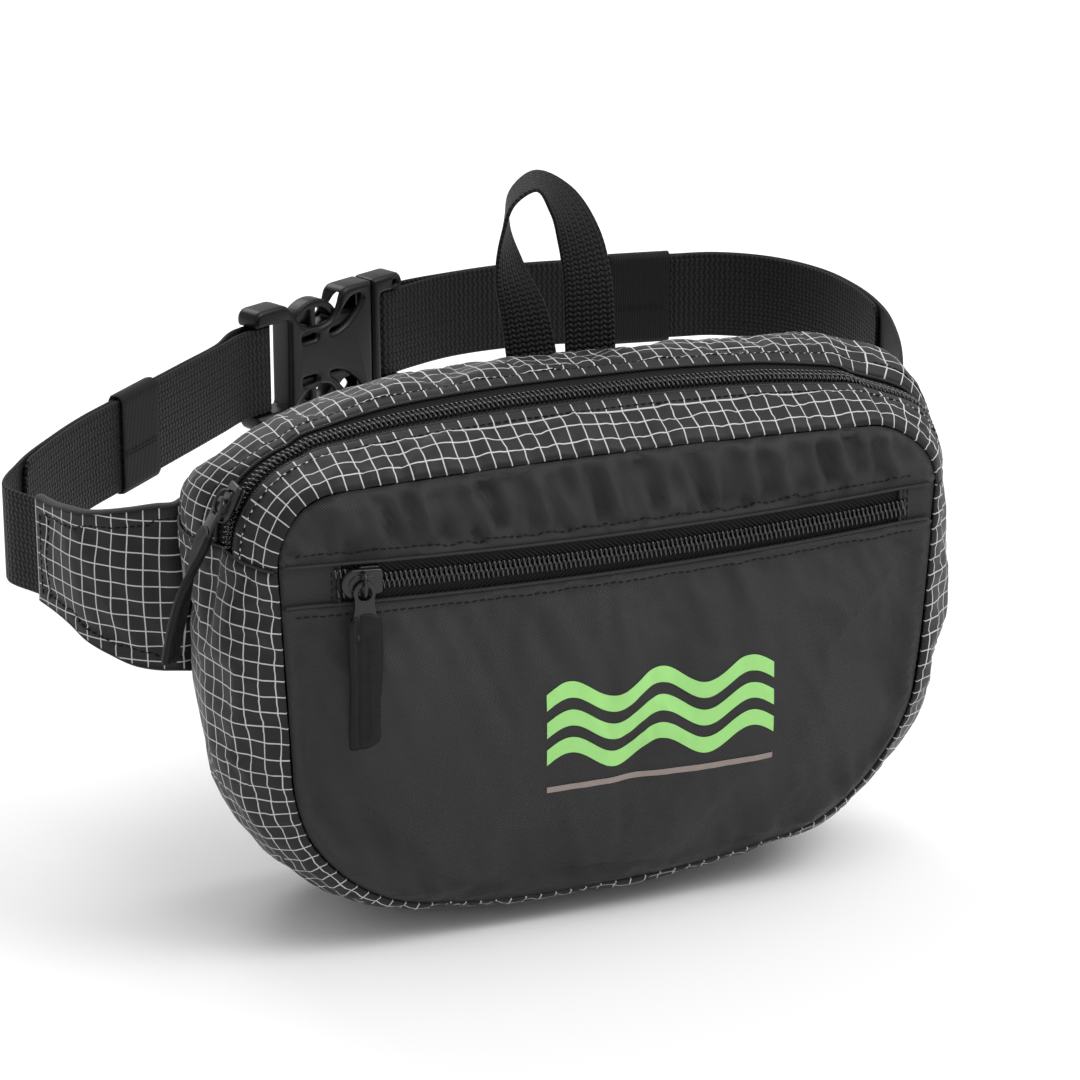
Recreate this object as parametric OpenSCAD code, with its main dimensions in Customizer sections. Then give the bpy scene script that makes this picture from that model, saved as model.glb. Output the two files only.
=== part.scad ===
// Waist pack: a zipped bag on a webbing belt with a side-release buckle.
// Frame: +X to the pack's right as seen from in front, +Y towards the wearer, +Z up.
// The origin is on the back panel's rear face, at mid width.

/* [Bag] */
// Width of the front panel, seam to seam
panel_w = 250; // [246:1:254]
// Height of the front panel's top corners above the origin
panel_top = 76; // [75:1:78]
// Depth of the front panel's bottom corners below the origin
panel_bottom = 81; // [76:1:86]
// Rise of the top seam's crown over its corners
top_crown = 2.5; // [1:0.5:5]
// Sag of the bottom seam below its corners
bottom_crown = 6; // [3:0.5:8]
// Radius of the panel's top corners
top_corner_r = 26; // [25:1:27]
// Radius of the panel's bottom corners
bottom_corner_r = 56; // [50:1:60]
// Narrowing of each side from the top corner to the bottom corner
side_taper = 4; // [2:1:6]
// Depth from the front panel to the back panel's rear face
bag_d = 80; // [78:1:82]
// Thickness of the bag's fabric walls
wall_t = 1.2; // [1:0.1:1.5]

/* [Front pocket zip] */
// Height of the zip's centre line above the origin
front_zip_z = 43.5; // [42:0.5:45]
// Left end of the zip's window
front_zip_x0 = -102; // [-104:1:-100]
// Right end of the zip's window
front_zip_x1 = 113; // [110:1:114]
// Height of tape that shows above the zip's centre line
front_tape_up = 11.5; // [10:0.5:12]
// Height of tape that shows below the zip's centre line
front_tape_down = 6.5; // [6:0.5:8]
// Length of the front slider's run
front_zip_run = 196; // [180:1:198]

/* [Zip hardware] */
// Width of the joined coils
coil_w = 6.8; // [6:0.1:7.4]
// Height of the coils over their tape
coil_h = 2; // [1.6:0.1:2.4]
// Length of a slider's body
slider_l = 15; // [13:0.5:16]
// Width of a slider's body
slider_w = 11; // [10.5:0.1:12]
// Length of a metal pull tab
tab_l = 21; // [18:1:24]
// Width of a metal pull tab
tab_w = 9; // [8:0.5:10]
// Length of a folded fabric puller
puller_l = 48; // [40:1:54]
// Width of a folded fabric puller
puller_w = 12; // [11:0.5:13]

/* [Belt] */
// Width of the belt's webbing
belt_w = 38; // [36:1:39]
// Thickness of the webbing
web_t = 1.6; // [1.2:0.1:1.8]
// Height of the belt's centre line above the origin
belt_z = 22; // [20:1:24]
// Length of an elastic keeper along the belt
keeper_l = 27; // [20:1:28]

/* [Buckle] */
// Length of the closed buckle
buckle_l = 86; // [84:1:88]
// Height of the buckle across the belt
buckle_h = 53; // [52:1:55]
// Thickness of the buckle
buckle_t = 12.5; // [12:0.5:13]

/* [Hang loop] */
// Width of the hang loop's webbing
loop_w = 20; // [18:1:20]
// Thickness of the hang loop's webbing
loop_t = 1.5; // [1.2:0.1:1.8]

/* [Print] */
// Width of the wave print on the lower panel
print_w = 88; // [60:1:96]
// Height of one wave band
print_band_h = 6; // [4:0.5:7]

/* [Hidden] */
$fn = 48;

gap = 0.3;             // clearance between neighbouring pieces
eps = 0.01;            // overlap of a cutting tool past the face it cuts
hole_fn = 32;          // facets setting of small round holes

// Stations down the bag's depth: [depth behind the front seam, how far the wall stands out there].
// The crown carries most, the zip's corners are drawn in, the sides bulge and the bottom is flatter.
CROWN = [[0, 0], [4.5, 4], [10, 7], [15, 9.5], [21, 12], [28, 14], [35, 16.5], [41, 18.5], [52, 19],
         [66, 16.5], [80, 9]];
CORNER = [[0, 0], [4.5, 3.5], [10, 5.5], [15, 7], [21, 8], [28, 8.5], [35, 9.5], [41, 14], [52, 17],
          [66, 15], [80, 9]];
SIDE = [[0, 0], [4.5, 6], [10, 10.5], [15, 13.5], [21, 15], [28, 16], [35, 17], [41, 17], [52, 16.5],
        [66, 14], [80, 9]];
BOTTOM = [[0, 0], [4.5, 3], [10, 5], [15, 6.5], [21, 8], [28, 9], [35, 10], [41, 10.5], [52, 11],
          [66, 10.5], [80, 9]];
back_out = 9;          // how far the back seam stands outside the front one
binding_w = 3.5;       // width of the binding over a seam allowance
binding_t = 1.8;       // thickness of that binding

// Depths of the zip gusset's pieces behind the front seam
strip_front_end = 21;  // rear edge of the front strip
coil_mid = 28;         // line where the two coils meet
strip_back_start = 36; // front edge of the back strip
tape_t = 0.8;          // thickness of the zip tape

front_y = -bag_d;      // outer face of the front panel
lining_y = 3.2;        // depth of the pocket's inner wall behind the panel's outer face

corner_x = panel_w / 2 - top_corner_r;            // centre of a top corner's arc
corner_z = panel_top - top_corner_r;
low_x = panel_w / 2 - side_taper - bottom_corner_r; // centre of a bottom corner's arc
low_z = bottom_corner_r - panel_bottom;

// Outline points are [x, z, outward x, outward z, blend]; blend is -1 at the bottom, 0 on the sides,
// 1 round the top corners and 2 on the crown.
function arc_points(cx, cz, r, a0, a1, n, k0, k1) =
    [for (i = [0:n]) let (a = a0 + (a1 - a0) * i / n)
        [cx + r * cos(a), cz + r * sin(a), cos(a), sin(a), k0 + (k1 - k0) * i / n]];
function crown_point(x, k) = [x, panel_top + top_crown * (1 - pow(x / corner_x, 2)), 0, 1, k];
function belly_point(x) = [x, -panel_bottom - bottom_crown * (1 - pow(x / low_x, 2)), 0, -1, -1];
function side_point(z, k) =
    [panel_w / 2 - side_taper * (corner_z - z) / (corner_z - low_z), z, 1, 0, k];
HALF = concat(
    [crown_point(0, 2), crown_point(33, 2), crown_point(66, 2), crown_point(86, 1.8)],
    [[corner_x, panel_top, 0, 1, 1.4]],
    arc_points(corner_x, corner_z, top_corner_r, 75, 0, 5, 1, 1),
    [side_point(32, 0.6), side_point(12, 0.2), side_point(-8, 0)],
    arc_points(low_x, low_z, bottom_corner_r, 0, -90, 7, 0, -1),
    [belly_point(43), belly_point(21), belly_point(0)]);
half_n = len(HALF);
corner_foot = 10;      // index of the corner's lower end, where the two gussets are sewn together
function mirrored(p) = [-p[0], p[1], -p[2], p[3], p[4]];
LOOP = concat(HALF, [for (i = [half_n - 2:-1:1]) mirrored(HALF[i])]);
loop_n = len(LOOP);
function loop_at(i) = LOOP[(i + loop_n) % loop_n];

function out_at(depth, k) =
    k < 0 ? (1 + k) * lookup(depth, SIDE) - k * lookup(depth, BOTTOM)
  : k < 1 ? (1 - k) * lookup(depth, SIDE) + k * lookup(depth, CORNER)
          : (2 - k) * lookup(depth, CORNER) + (k - 1) * lookup(depth, CROWN);
function outline(out) = [for (p = LOOP) [p[0] + p[2] * out, p[1] + p[3] * out]];

// A flat panel in the XZ plane, from depth y0 to y1, over the outline moved out by "out"
module panel(out, y0, y1)
    translate([0, y1, 0]) rotate([90, 0, 0]) linear_extrude(y1 - y0) polygon(outline(out));

// Grid of points folded into one closed solid: outer face, inner face and the four edges.
// Seen from outside, rows run to the right and columns run up.
module thick_patch(outer, inner) {
    nu = len(outer);
    nv = len(outer[0]);
    points = concat([for (row = outer) for (p = row) p], [for (row = inner) for (p = row) p]);
    m = nu * nv;
    function id(i, j) = i * nv + j;
    faces = concat(
        [for (i = [0:nu - 2]) for (j = [0:nv - 2]) each [
            [id(i, j), id(i + 1, j + 1), id(i + 1, j)],
            [id(i, j), id(i, j + 1), id(i + 1, j + 1)],
            [m + id(i, j), m + id(i + 1, j), m + id(i + 1, j + 1)],
            [m + id(i, j), m + id(i + 1, j + 1), m + id(i, j + 1)]]],
        [for (i = [0:nu - 2]) each [
            [id(i, 0), m + id(i + 1, 0), m + id(i, 0)],
            [id(i, 0), id(i + 1, 0), m + id(i + 1, 0)],
            [id(i, nv - 1), m + id(i, nv - 1), m + id(i + 1, nv - 1)],
            [id(i, nv - 1), m + id(i + 1, nv - 1), id(i + 1, nv - 1)]]],
        [for (j = [0:nv - 2]) each [
            [id(0, j), m + id(0, j), m + id(0, j + 1)],
            [id(0, j), m + id(0, j + 1), id(0, j + 1)],
            [id(nu - 1, j), m + id(nu - 1, j + 1), m + id(nu - 1, j)],
            [id(nu - 1, j), id(nu - 1, j + 1), m + id(nu - 1, j + 1)]]]);
    polyhedron(points, faces);
}

// Part of the bag's puffed wall, between two outline points and over a list of depths.
// "rise" moves it out of the wall's own surface and t is its thickness.
module wall(i0, i1, depths, rise, t) {
    function skin(extra) = [for (i = [i0:i1]) let (p = loop_at(i))
        [for (d = depths) let (out = out_at(d, p[4]) + extra)
            [p[0] + p[2] * out, front_y + d, p[1] + p[3] * out]]];
    thick_patch(skin(rise), skin(rise - t));
}
zip_depths_front = [wall_t, 4.5, 10, 15, strip_front_end];
zip_depths_back = [strip_back_start, 41, 52, 66, bag_d - wall_t - 0.4];
gusset_depths = [wall_t, 4.5, 10, 15, 21, 28, 35, 41, 52, 66, bag_d - wall_t - 0.4];

// ---- front panel and pocket zip ----
module panel_band(x0, x1, z0, z1)
    intersection() {
        panel(0, front_y, front_y + wall_t);
        translate([x0, front_y - 1, z0]) cube([x1 - x0, wall_t + 2, z1 - z0]);
    }
wide = panel_w + 20;   // a box this size takes in the whole panel
window_top = front_zip_z + front_tape_up;
window_low = front_zip_z - front_tape_down;
module front_panel_upper() color([0.2, 0.2, 0.21]) panel_band(-wide, wide, window_top, wide);
module front_panel_lower() color([0.2, 0.2, 0.21]) panel_band(-wide, wide, -wide, window_low);
module front_zip_end_tab_left() color([0.18, 0.18, 0.19])
    panel_band(-wide, front_zip_x0, window_low, window_top);
module front_zip_end_tab_right() color([0.18, 0.18, 0.19])
    panel_band(front_zip_x1, wide, window_low, window_top);
module front_tape(z0, z1) color([0.06, 0.06, 0.06])
    translate([front_zip_x0, front_y + 0.4, z0])
        cube([front_zip_x1 - front_zip_x0, tape_t, z1 - z0]);
module front_zip_tape_upper() front_tape(front_zip_z + coil_w / 2, window_top);
module front_zip_tape_lower() front_tape(window_low, front_zip_z - coil_w / 2);
module front_coil(z0) color([0.1, 0.1, 0.1])
    translate([front_zip_x0, front_y + 0.4 + tape_t - coil_h - tape_t, z0])
        cube([front_zip_x1 - front_zip_x0, coil_h + tape_t, coil_w / 2 - 0.05]);
module front_zip_coil_upper() front_coil(front_zip_z + 0.05);
module front_zip_coil_lower() front_coil(front_zip_z - coil_w / 2);
module front_pocket_lining() color([0.1, 0.1, 0.1])
    panel(-3, front_y + lining_y, front_y + lining_y + wall_t);

// ---- zip sliders ----
// Local frame: zip along X, across it Z, outwards -Y, and y = 0 on top of the coils
slider_t = 2.4;        // thickness of the slider's upper plate
flange_t = 1.2;        // thickness of the lips down both sides of the coils
lip_h = 1.2;           // how far the lips reach down
arch_r = 0.75;         // radius of the bar that the pull tab hangs on
arch_span = 9;         // length of that bar
pivot_out = 4.2;       // height of the tab's pivot over the coils
arch_out = 6.15;       // height of the bar over the coils
module slider(across) {
    // plate with one round nose
    rotate([90, 0, 0]) linear_extrude(slider_t) {
        translate([-slider_l / 2 + slider_w / 2, 0]) circle(slider_w / 2);
        translate([-slider_l / 2 + slider_w / 2, -slider_w / 2]) square([slider_l - slider_w / 2, slider_w]);
    }
    for (side = [-1, 1])
        translate([-1, -eps, side * (slider_w - flange_t) / 2 - flange_t / 2])
            cube([slider_l / 2, lip_h, flange_t]);
    // arch over the plate, along the zip or across it
    rotate([0, across ? 90 : 0, 0]) {
        for (end = [-1, 1])
            translate([end * arch_span / 2, -slider_t + eps, 0]) rotate([90, 0, 0])
                cylinder(r = arch_r, h = arch_out - slider_t + arch_r, $fn = hole_fn);
        translate([-arch_span / 2, -arch_out, 0]) rotate([0, 90, 0])
            cylinder(r = arch_r, h = arch_span, $fn = hole_fn);
    }
}
// Metal tab with its cross bar on X through the origin, hanging to -Z
tab_t = 1.1;           // thickness of the tab
eye_w = 5.4;           // width of the eye that the arch passes through
eye_h = 6;             // height of that eye
head_r = 4.2;          // radius of the tab's round head
head_drop = 2.6;       // how far its centre is below the tab's cross bar
rivet_r = 1.8;         // radius of the hole near the tab's lower end
module pull_tab()
    difference() {
        translate([0, tab_t / 2, 0]) rotate([90, 0, 0]) linear_extrude(tab_t) difference() {
            union() {
                translate([0, -head_drop]) circle(head_r);
                translate([-tab_w / 2 + 1, -tab_l]) square([tab_w - 2, tab_l - head_drop]);
            }
            translate([-eye_w / 2, -eye_h - 1]) square([eye_w, eye_h]);
        }
        translate([0, tab_t, -tab_l + 5.5]) rotate([90, 0, 0])
            cylinder(r = rivet_r, h = 2 * tab_t, $fn = hole_fn);
    }
// Folded fabric puller round the tab's lower end
puller_t = 3.4;        // thickness of the folded puller
puller_grip = 8;       // length of tab inside the puller
module puller()
    difference() {
        translate([-puller_w / 2, -puller_t / 2, -tab_l + puller_grip - puller_l])
            cube([puller_w, puller_t, puller_l]);
        translate([-tab_w / 2, -tab_t / 2 - 0.15, -tab_l - gap])
            cube([tab_w, tab_t + gap, puller_grip + 1]);
    }

front_slider_x = -94;  // middle of the front slider at rest
front_coil_y = front_y + 0.4 - coil_h;
module front_zip_slider() color([0.13, 0.13, 0.13])
    translate([front_slider_x, front_coil_y - 0.15, front_zip_z]) slider(true);
module at_front_pivot() translate([front_slider_x, front_coil_y - pivot_out, front_zip_z]) children();
module front_zip_pull_tab() color([0.16, 0.16, 0.16]) at_front_pivot() pull_tab();
module front_zip_puller() color([0.07, 0.07, 0.07]) at_front_pivot() puller();

// ---- top zip ----
module zip_gusset_front() color([0.15, 0.15, 0.15]) wall(-corner_foot, corner_foot, zip_depths_front, 0, wall_t);
module zip_gusset_back() color([0.15, 0.15, 0.15]) wall(-corner_foot, corner_foot, zip_depths_back, 0, wall_t);
module zip_ring(d0, d1, rise, t) wall(-corner_foot, corner_foot, [d0, d1], rise, t);
module top_zip_tape_front() color([0.06, 0.06, 0.06])
    zip_ring(strip_front_end + 0.1, coil_mid - coil_w / 2 - 0.1, -0.3, tape_t);
module top_zip_tape_back() color([0.06, 0.06, 0.06])
    zip_ring(coil_mid + coil_w / 2 + 0.1, strip_back_start - 0.1, -0.3, tape_t);
module top_zip_coil_front() color([0.1, 0.1, 0.1])
    zip_ring(coil_mid - coil_w / 2, coil_mid - 0.05, coil_h - 1.1, coil_h + tape_t);
module top_zip_coil_back() color([0.1, 0.1, 0.1])
    zip_ring(coil_mid + 0.05, coil_mid + coil_w / 2, coil_h - 1.1, coil_h + tape_t);

top_slider_a = 27;     // angle of the slider above the left corner's centre, at rest
top_track_r = top_corner_r + lookup(coil_mid, CORNER) + coil_h - 1.1; // top of the coils there
top_lean = 28;         // lean of the hanging tab away from the bag
slider_lift = 1;       // height of the slider's plate over the curved coils
top_pivot_r = top_track_r + slider_lift + pivot_out; // the tab's pivot from the corner's centre
top_zip_y = front_y + coil_mid;
module top_zip_slider() color([0.13, 0.13, 0.13])
    translate([-corner_x, top_zip_y, corner_z]) rotate([0, top_slider_a, 0])
        translate([-top_track_r - slider_lift, 0, 0]) rotate([-90, 0, 0]) rotate([0, 0, -90]) slider(false);
module at_top_pivot()
    translate([-corner_x - top_pivot_r * cos(top_slider_a), top_zip_y, corner_z + top_pivot_r * sin(top_slider_a)])
        rotate([0, top_lean, 0]) rotate([0, 0, 90]) children();
module top_zip_pull_tab() color([0.16, 0.16, 0.16]) at_top_pivot() pull_tab();
module top_zip_puller() color([0.07, 0.07, 0.07]) at_top_pivot() puller();

// ---- rest of the bag ----
module bottom_gusset() color([0.14, 0.14, 0.14])
    wall(corner_foot, loop_n - corner_foot, gusset_depths, 0, wall_t);
module back_panel() color([0.09, 0.09, 0.09]) panel(back_out, -wall_t - 0.3, 0);
module binding(out, y0)
    difference() {
        panel(out, y0, y0 + binding_t);
        panel(out - binding_w, y0 - 1, y0 + binding_t + 1);
    }
module front_seam_binding() color([0.08, 0.08, 0.08]) binding(-0.6, front_y + wall_t + 0.1);
module back_seam_binding() color([0.08, 0.08, 0.08]) binding(back_out - 2, -wall_t - 0.5 - binding_t);

// ---- print ----
print_x = 16;          // middle of the print
print_z = -2;          // top of the print
print_t = 0.3;         // thickness of the print
wave_rise = 4;         // height of a wave over its middle line
wave_count = 2.5;      // waves across the print
band_pitch = 10.5;     // distance between bands
function wave(z) = [for (i = [0:24]) [print_w * (i / 24 - 0.5), z + wave_rise * sin(360 * wave_count * i / 24)]];
function reversed(list) = [for (i = [len(list) - 1:-1:0]) list[i]];
module on_panel() translate([print_x, front_y, print_z]) rotate([90, 0, 0]) linear_extrude(print_t) children();
module print_waves() color([0.62, 0.87, 0.49])
    on_panel() for (band = [0:2])
        polygon(concat(wave(-wave_rise - band_pitch * band),
                       reversed(wave(-wave_rise - band_pitch * band - print_band_h))));
module print_line() color([0.54, 0.48, 0.46])
    on_panel() translate([-print_w / 2, -wave_rise - 3 * band_pitch - 6]) square([print_w, 2.2]);

// ---- wings and belt ----
// A strap standing on its edge along a route in plan. Each route point is
// [x, y, offset of the strap's middle to the left of travel, low z, high z].
function unit(v) = v / norm(v);
function left_of(route, i) = let (
    a = route[max(i - 1, 0)], b = route[min(i + 1, len(route) - 1)],
    d = unit([b[0] - a[0], b[1] - a[1]])) [-d[1], d[0]];
module strap(route, t) {
    function edge(off) = [for (i = [0:len(route) - 1]) let (p = route[i], n = left_of(route, i), o = p[2] + off)
        [for (z = [p[3], p[4]]) [p[0] + n[0] * o, p[1] + n[1] * o, z]]];
    thick_patch(edge(-t / 2), edge(t / 2));
}
// Wing: [x, y, low z, high z] from the bag's back corner to the tip, for the left side
WING = [[-137, -3, -12, 51], [-144, 0, -12, 50], [-152, 5, -11, 48], [-159, 11, -8, 46], [-165, 19, -5, 44],
        [-169, 28, -1, 43], [-172, 37, 1, 42], [-175, 47, 2, 42]];
wing_gap = 1;          // half the space for the webbing between a wing's two layers
wing_t = 1;            // thickness of each layer
module wing_layer(side) strap([for (p = WING) [p[0], p[1], side * (wing_gap + wing_t / 2), p[2], p[3]]], wing_t);
module mirror_x(on) { if (on) mirror([1, 0, 0]) children(); else children(); }
module wing_left() color([0.14, 0.14, 0.14]) wing_layer(1);
module wing_left_lining() color([0.08, 0.08, 0.08]) wing_layer(-1);
module wing_right() color([0.14, 0.14, 0.14]) mirror_x(true) wing_layer(1);
module wing_right_lining() color([0.08, 0.08, 0.08]) mirror_x(true) wing_layer(-1);

// Buckle axis: its middle in plan and its turn from +X
buckle_x = -4;
buckle_y = 240;
buckle_turn = 26;
bar_x = 35;            // distance of each webbing bar from the buckle's middle
bar_w = 4;             // width of a webbing bar
bar_t = 4;             // thickness of a webbing bar
wrap_x = bar_x - bar_w / 2 - web_t / 2 - 0.2; // the webbing turns round the bar here
lay = web_t / 2 + 0.2; // offset of each of two webbing layers from the belt's middle
wrap_off = bar_t / 2 + web_t / 2 + 0.2;       // the same at the buckle's bar
// Belt routes in plan, outer layer's offset last: + is to the left of travel
LEFT = [[-172.3, 38, 0], [-175.3, 48, 0], [-182, 66, 1], [-171, 90, 1], [-152, 115, 1], [-132, 137, 1], [-76, 189, 1],
        [-60, 204, 1]];
RIGHT_FREE = [[62, 268, 1], [90, 271, 1], [108, 269.3, 1]];
RIGHT = [[108.4, 269.2, 1], [178, 258, 1], [202, 243, 1], [216, 218, 1], [220, 188, 1], [217, 156, 1], [207, 122, 1],
         [192, 86, 1], [182, 66, 1], [175.3, 48, 0], [172.3, 38, 0]];
tail_left_from = 3;    // the left tail starts at this route point
tail_right_to = 5;     // the right tail ends at this route point
low = belt_z - belt_w / 2;
high = belt_z + belt_w / 2;
function layer(route, side) = [for (p = route) [p[0], p[1], side * p[2] * lay, low, high]];
// route point at x, y in the buckle's own frame
function at_bar(x, y) = [buckle_x + x * cos(buckle_turn) - y * sin(buckle_turn),
                         buckle_y + x * sin(buckle_turn) + y * cos(buckle_turn), 0, low, high];
function cut(route, from, to) = [for (i = [from:to]) route[i]];
module webbing_color() color([0.09, 0.09, 0.09]) children();
approach_x = buckle_l / 2 + 2;                // the layers part here
wrap_end = -wrap_off - web_t / 2;             // the outer layer ends here, past its turn
tail_x = wrap_x + web_t / 2 + 0.1;            // the tail starts here, beside the turn
module belt_strap_left() webbing_color()
    strap(concat(layer(LEFT, 1), [at_bar(-approach_x, wrap_off), at_bar(-wrap_x, wrap_off),
                                  at_bar(-wrap_x, wrap_end)]), web_t);
module belt_tail_left() webbing_color()
    strap(concat(layer(cut(LEFT, tail_left_from, len(LEFT) - 1), -1),
                 [at_bar(-approach_x, -wrap_off), at_bar(-tail_x, -wrap_off)]), web_t);
module belt_strap_right_free() webbing_color()
    strap(concat([at_bar(wrap_x, wrap_end), at_bar(wrap_x, wrap_off), at_bar(approach_x, wrap_off)],
                 layer(RIGHT_FREE, 1)), web_t);
module belt_tail_right_free() webbing_color()
    strap(concat([at_bar(tail_x, -wrap_off), at_bar(approach_x, -wrap_off)], layer(RIGHT_FREE, -1)), web_t);
module belt_strap_right() webbing_color() strap(layer(RIGHT, 1), web_t);
module belt_tail_right() webbing_color() strap(layer(cut(RIGHT, 0, tail_right_to), -1), web_t);

// Keepers: elastic bands round both layers, on the belt's two straight stretches
keeper_t = 1;          // thickness of the elastic
keeper_room = 2 * lay + web_t + 0.8; // inner depth across the layers
module keeper()
    difference() {
        cube([keeper_l, keeper_room + 2 * keeper_t, belt_w + 2 * keeper_t + 0.6], center = true);
        cube([keeper_l + 1, keeper_room, belt_w + 0.6], center = true);
    }
function heading(a, b) = atan2(b[1] - a[1], b[0] - a[0]);
module on_stretch(a, b, f)
    translate([a[0] + (b[0] - a[0]) * f, a[1] + (b[1] - a[1]) * f, belt_z]) rotate([0, 0, heading(a, b)]) children();
module keeper_left() color([0.11, 0.11, 0.11]) on_stretch(LEFT[5], LEFT[6], 0.5) keeper();
module keeper_right() color([0.11, 0.11, 0.11]) on_stretch(RIGHT[0], RIGHT[1], 0.6) keeper();

// ---- buckle, in its own frame: +X from the female part to the male part, +Y away from the wearer ----
module at_buckle() translate([buckle_x, buckle_y, belt_z]) rotate([0, 0, buckle_turn]) children();
mouth_x = 21;          // the female part's mouth, where the male base meets it
window_x0 = -20;       // side windows that show the prongs
window_x1 = -1;
cheek = (buckle_h - belt_w - 1) / 2;    // height of the cheeks beside the webbing
cavity_h = buckle_h - 3.4;
cavity_t = buckle_t - 4;
module plate(x0, x1, h, t) translate([x0, -t / 2, -h / 2]) cube([x1 - x0, t, h]);
// frame with one bar for the webbing; x0 is its outer end and dir points to the buckle's middle
module bar_frame(x0, dir) {
    for (side = [-1, 1])
        translate([dir > 0 ? x0 : x0 - 19, -buckle_t / 2, side * (buckle_h - cheek) / 2 - cheek / 2])
            cube([19, buckle_t, cheek]);
    translate([-dir * bar_x - bar_w / 2, -bar_t / 2, -buckle_h / 2 + 1]) cube([bar_w, bar_t, buckle_h - 2]);
}
module window(side)
    translate([0, 0, side * buckle_h / 2]) intersection() {
        translate([window_x0, -buckle_t, -9.5]) cube([window_x1 - window_x0, 2 * buckle_t, 19]);
        translate([(window_x0 + window_x1) / 2, buckle_t, side * 3]) rotate([90, 0, 0])
            cylinder(r = 12.4, h = 2 * buckle_t);
    }
module buckle_female() color([0.13, 0.13, 0.13]) at_buckle() {
    bar_frame(-buckle_l / 2, 1);
    difference() {
        union() {
            plate(-25, mouth_x, buckle_h - 1, buckle_t - 1);
            plate(1, mouth_x, buckle_h, buckle_t);
        }
        plate(-21, mouth_x + 1, cavity_h, cavity_t);
        for (side = [-1, 1]) window(side);
        for (side = [-1, 1]) translate([-9, buckle_t, side * 13]) rotate([90, 0, 0])
            cylinder(r = 2.2, h = 2 * buckle_t, $fn = hole_fn);
    }
}
tongue_h = 8;          // height of the guide between the prongs
module buckle_male() color([0.13, 0.13, 0.13]) at_buckle() {
    bar_frame(buckle_l / 2, -1);
    plate(mouth_x + 0.3, mouth_x + 4, buckle_h, buckle_t);
    plate(-14, mouth_x + 0.31, tongue_h, 4);
}
prong_t = cavity_t - 1;
prong_root = mouth_x - 0.4;  // prongs bend here
module prong() {
    // arm
    translate([-3, -prong_t / 2, 9]) cube([prong_root + 3, prong_t, 4.5]);
    // shoulder that shows in the window
    intersection() {
        translate([-19.5, -prong_t / 2, 9]) cube([18, prong_t, buckle_h / 2 - 11]);
        translate([-8, prong_t / 2, 11]) rotate([90, 0, 0]) cylinder(r = 12.6, h = prong_t);
    }
}
module buckle_prong_upper() color([0.15, 0.15, 0.15]) at_buckle() prong();
module buckle_prong_lower() color([0.15, 0.15, 0.15]) at_buckle() mirror([0, 0, 1]) prong();

// ---- hang loop: [centre of the webbing, direction across it] from the right foot to the left foot ----
HANG = [[[24, 1.5, 88.5], [1, 0, 0]], [[24, 3, 100], [1, 0, 0]], [[23.5, 4, 116], [1, 0.1, 0]],
        [[20.5, 5, 132], [0.95, 0.35, 0.15]], [[13, 5, 147], [0.65, 0.75, 0.3]], [[3, 4, 155], [0.3, 0.95, 0.1]],
        [[-6, 3, 150], [0.3, 0.95, 0]], [[-9, 3, 138], [0.45, 0.89, 0]], [[-7.5, 3, 124], [0.75, 0.66, 0]],
        [[-2, 2.5, 106], [0.97, 0.2, 0]], [[1.5, 1.5, 88.5], [1, 0, 0]]];
function travel(i) = unit(HANG[min(i + 1, len(HANG) - 1)][0] - HANG[max(i - 1, 0)][0]);
function hang_face(s) = [for (i = [0:len(HANG) - 1]) let (
        c = HANG[i][0], w = unit(HANG[i][1]), n = unit(cross(travel(i), w)))
    [for (e = [-1, 1]) c + w * e * loop_w / 2 + n * s * loop_t / 2]];
module hang_loop() color([0.1, 0.1, 0.1]) thick_patch(hang_face(1), hang_face(-1));

front_panel_upper();
front_panel_lower();
front_zip_end_tab_left();
front_zip_end_tab_right();
front_zip_tape_upper();
front_zip_tape_lower();
front_zip_coil_upper();
front_zip_coil_lower();
front_zip_slider();
front_zip_pull_tab();
front_zip_puller();
front_pocket_lining();
print_waves();
print_line();
zip_gusset_front();
zip_gusset_back();
top_zip_tape_front();
top_zip_tape_back();
top_zip_coil_front();
top_zip_coil_back();
top_zip_slider();
top_zip_pull_tab();
top_zip_puller();
bottom_gusset();
back_panel();
front_seam_binding();
back_seam_binding();
wing_left();
wing_left_lining();
wing_right();
wing_right_lining();
belt_strap_left();
belt_tail_left();
keeper_left();
buckle_female();
buckle_male();
buckle_prong_upper();
buckle_prong_lower();
belt_strap_right_free();
belt_tail_right_free();
belt_strap_right();
belt_tail_right();
keeper_right();
hang_loop();
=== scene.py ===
"""Looks of the waist pack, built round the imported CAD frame.

Lengths are in millimetres here and become metres in make(). Frame: +X to the right seen from the front,
+Y towards the wearer, +Z up, origin on the back panel's rear face.
"""

import math

import bmesh
import bpy
import numpy as np
from mathutils import Matrix, Vector, noise
from mathutils.bvhtree import BVHTree
from mathutils.geometry import delaunay_2d_cdt


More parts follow.
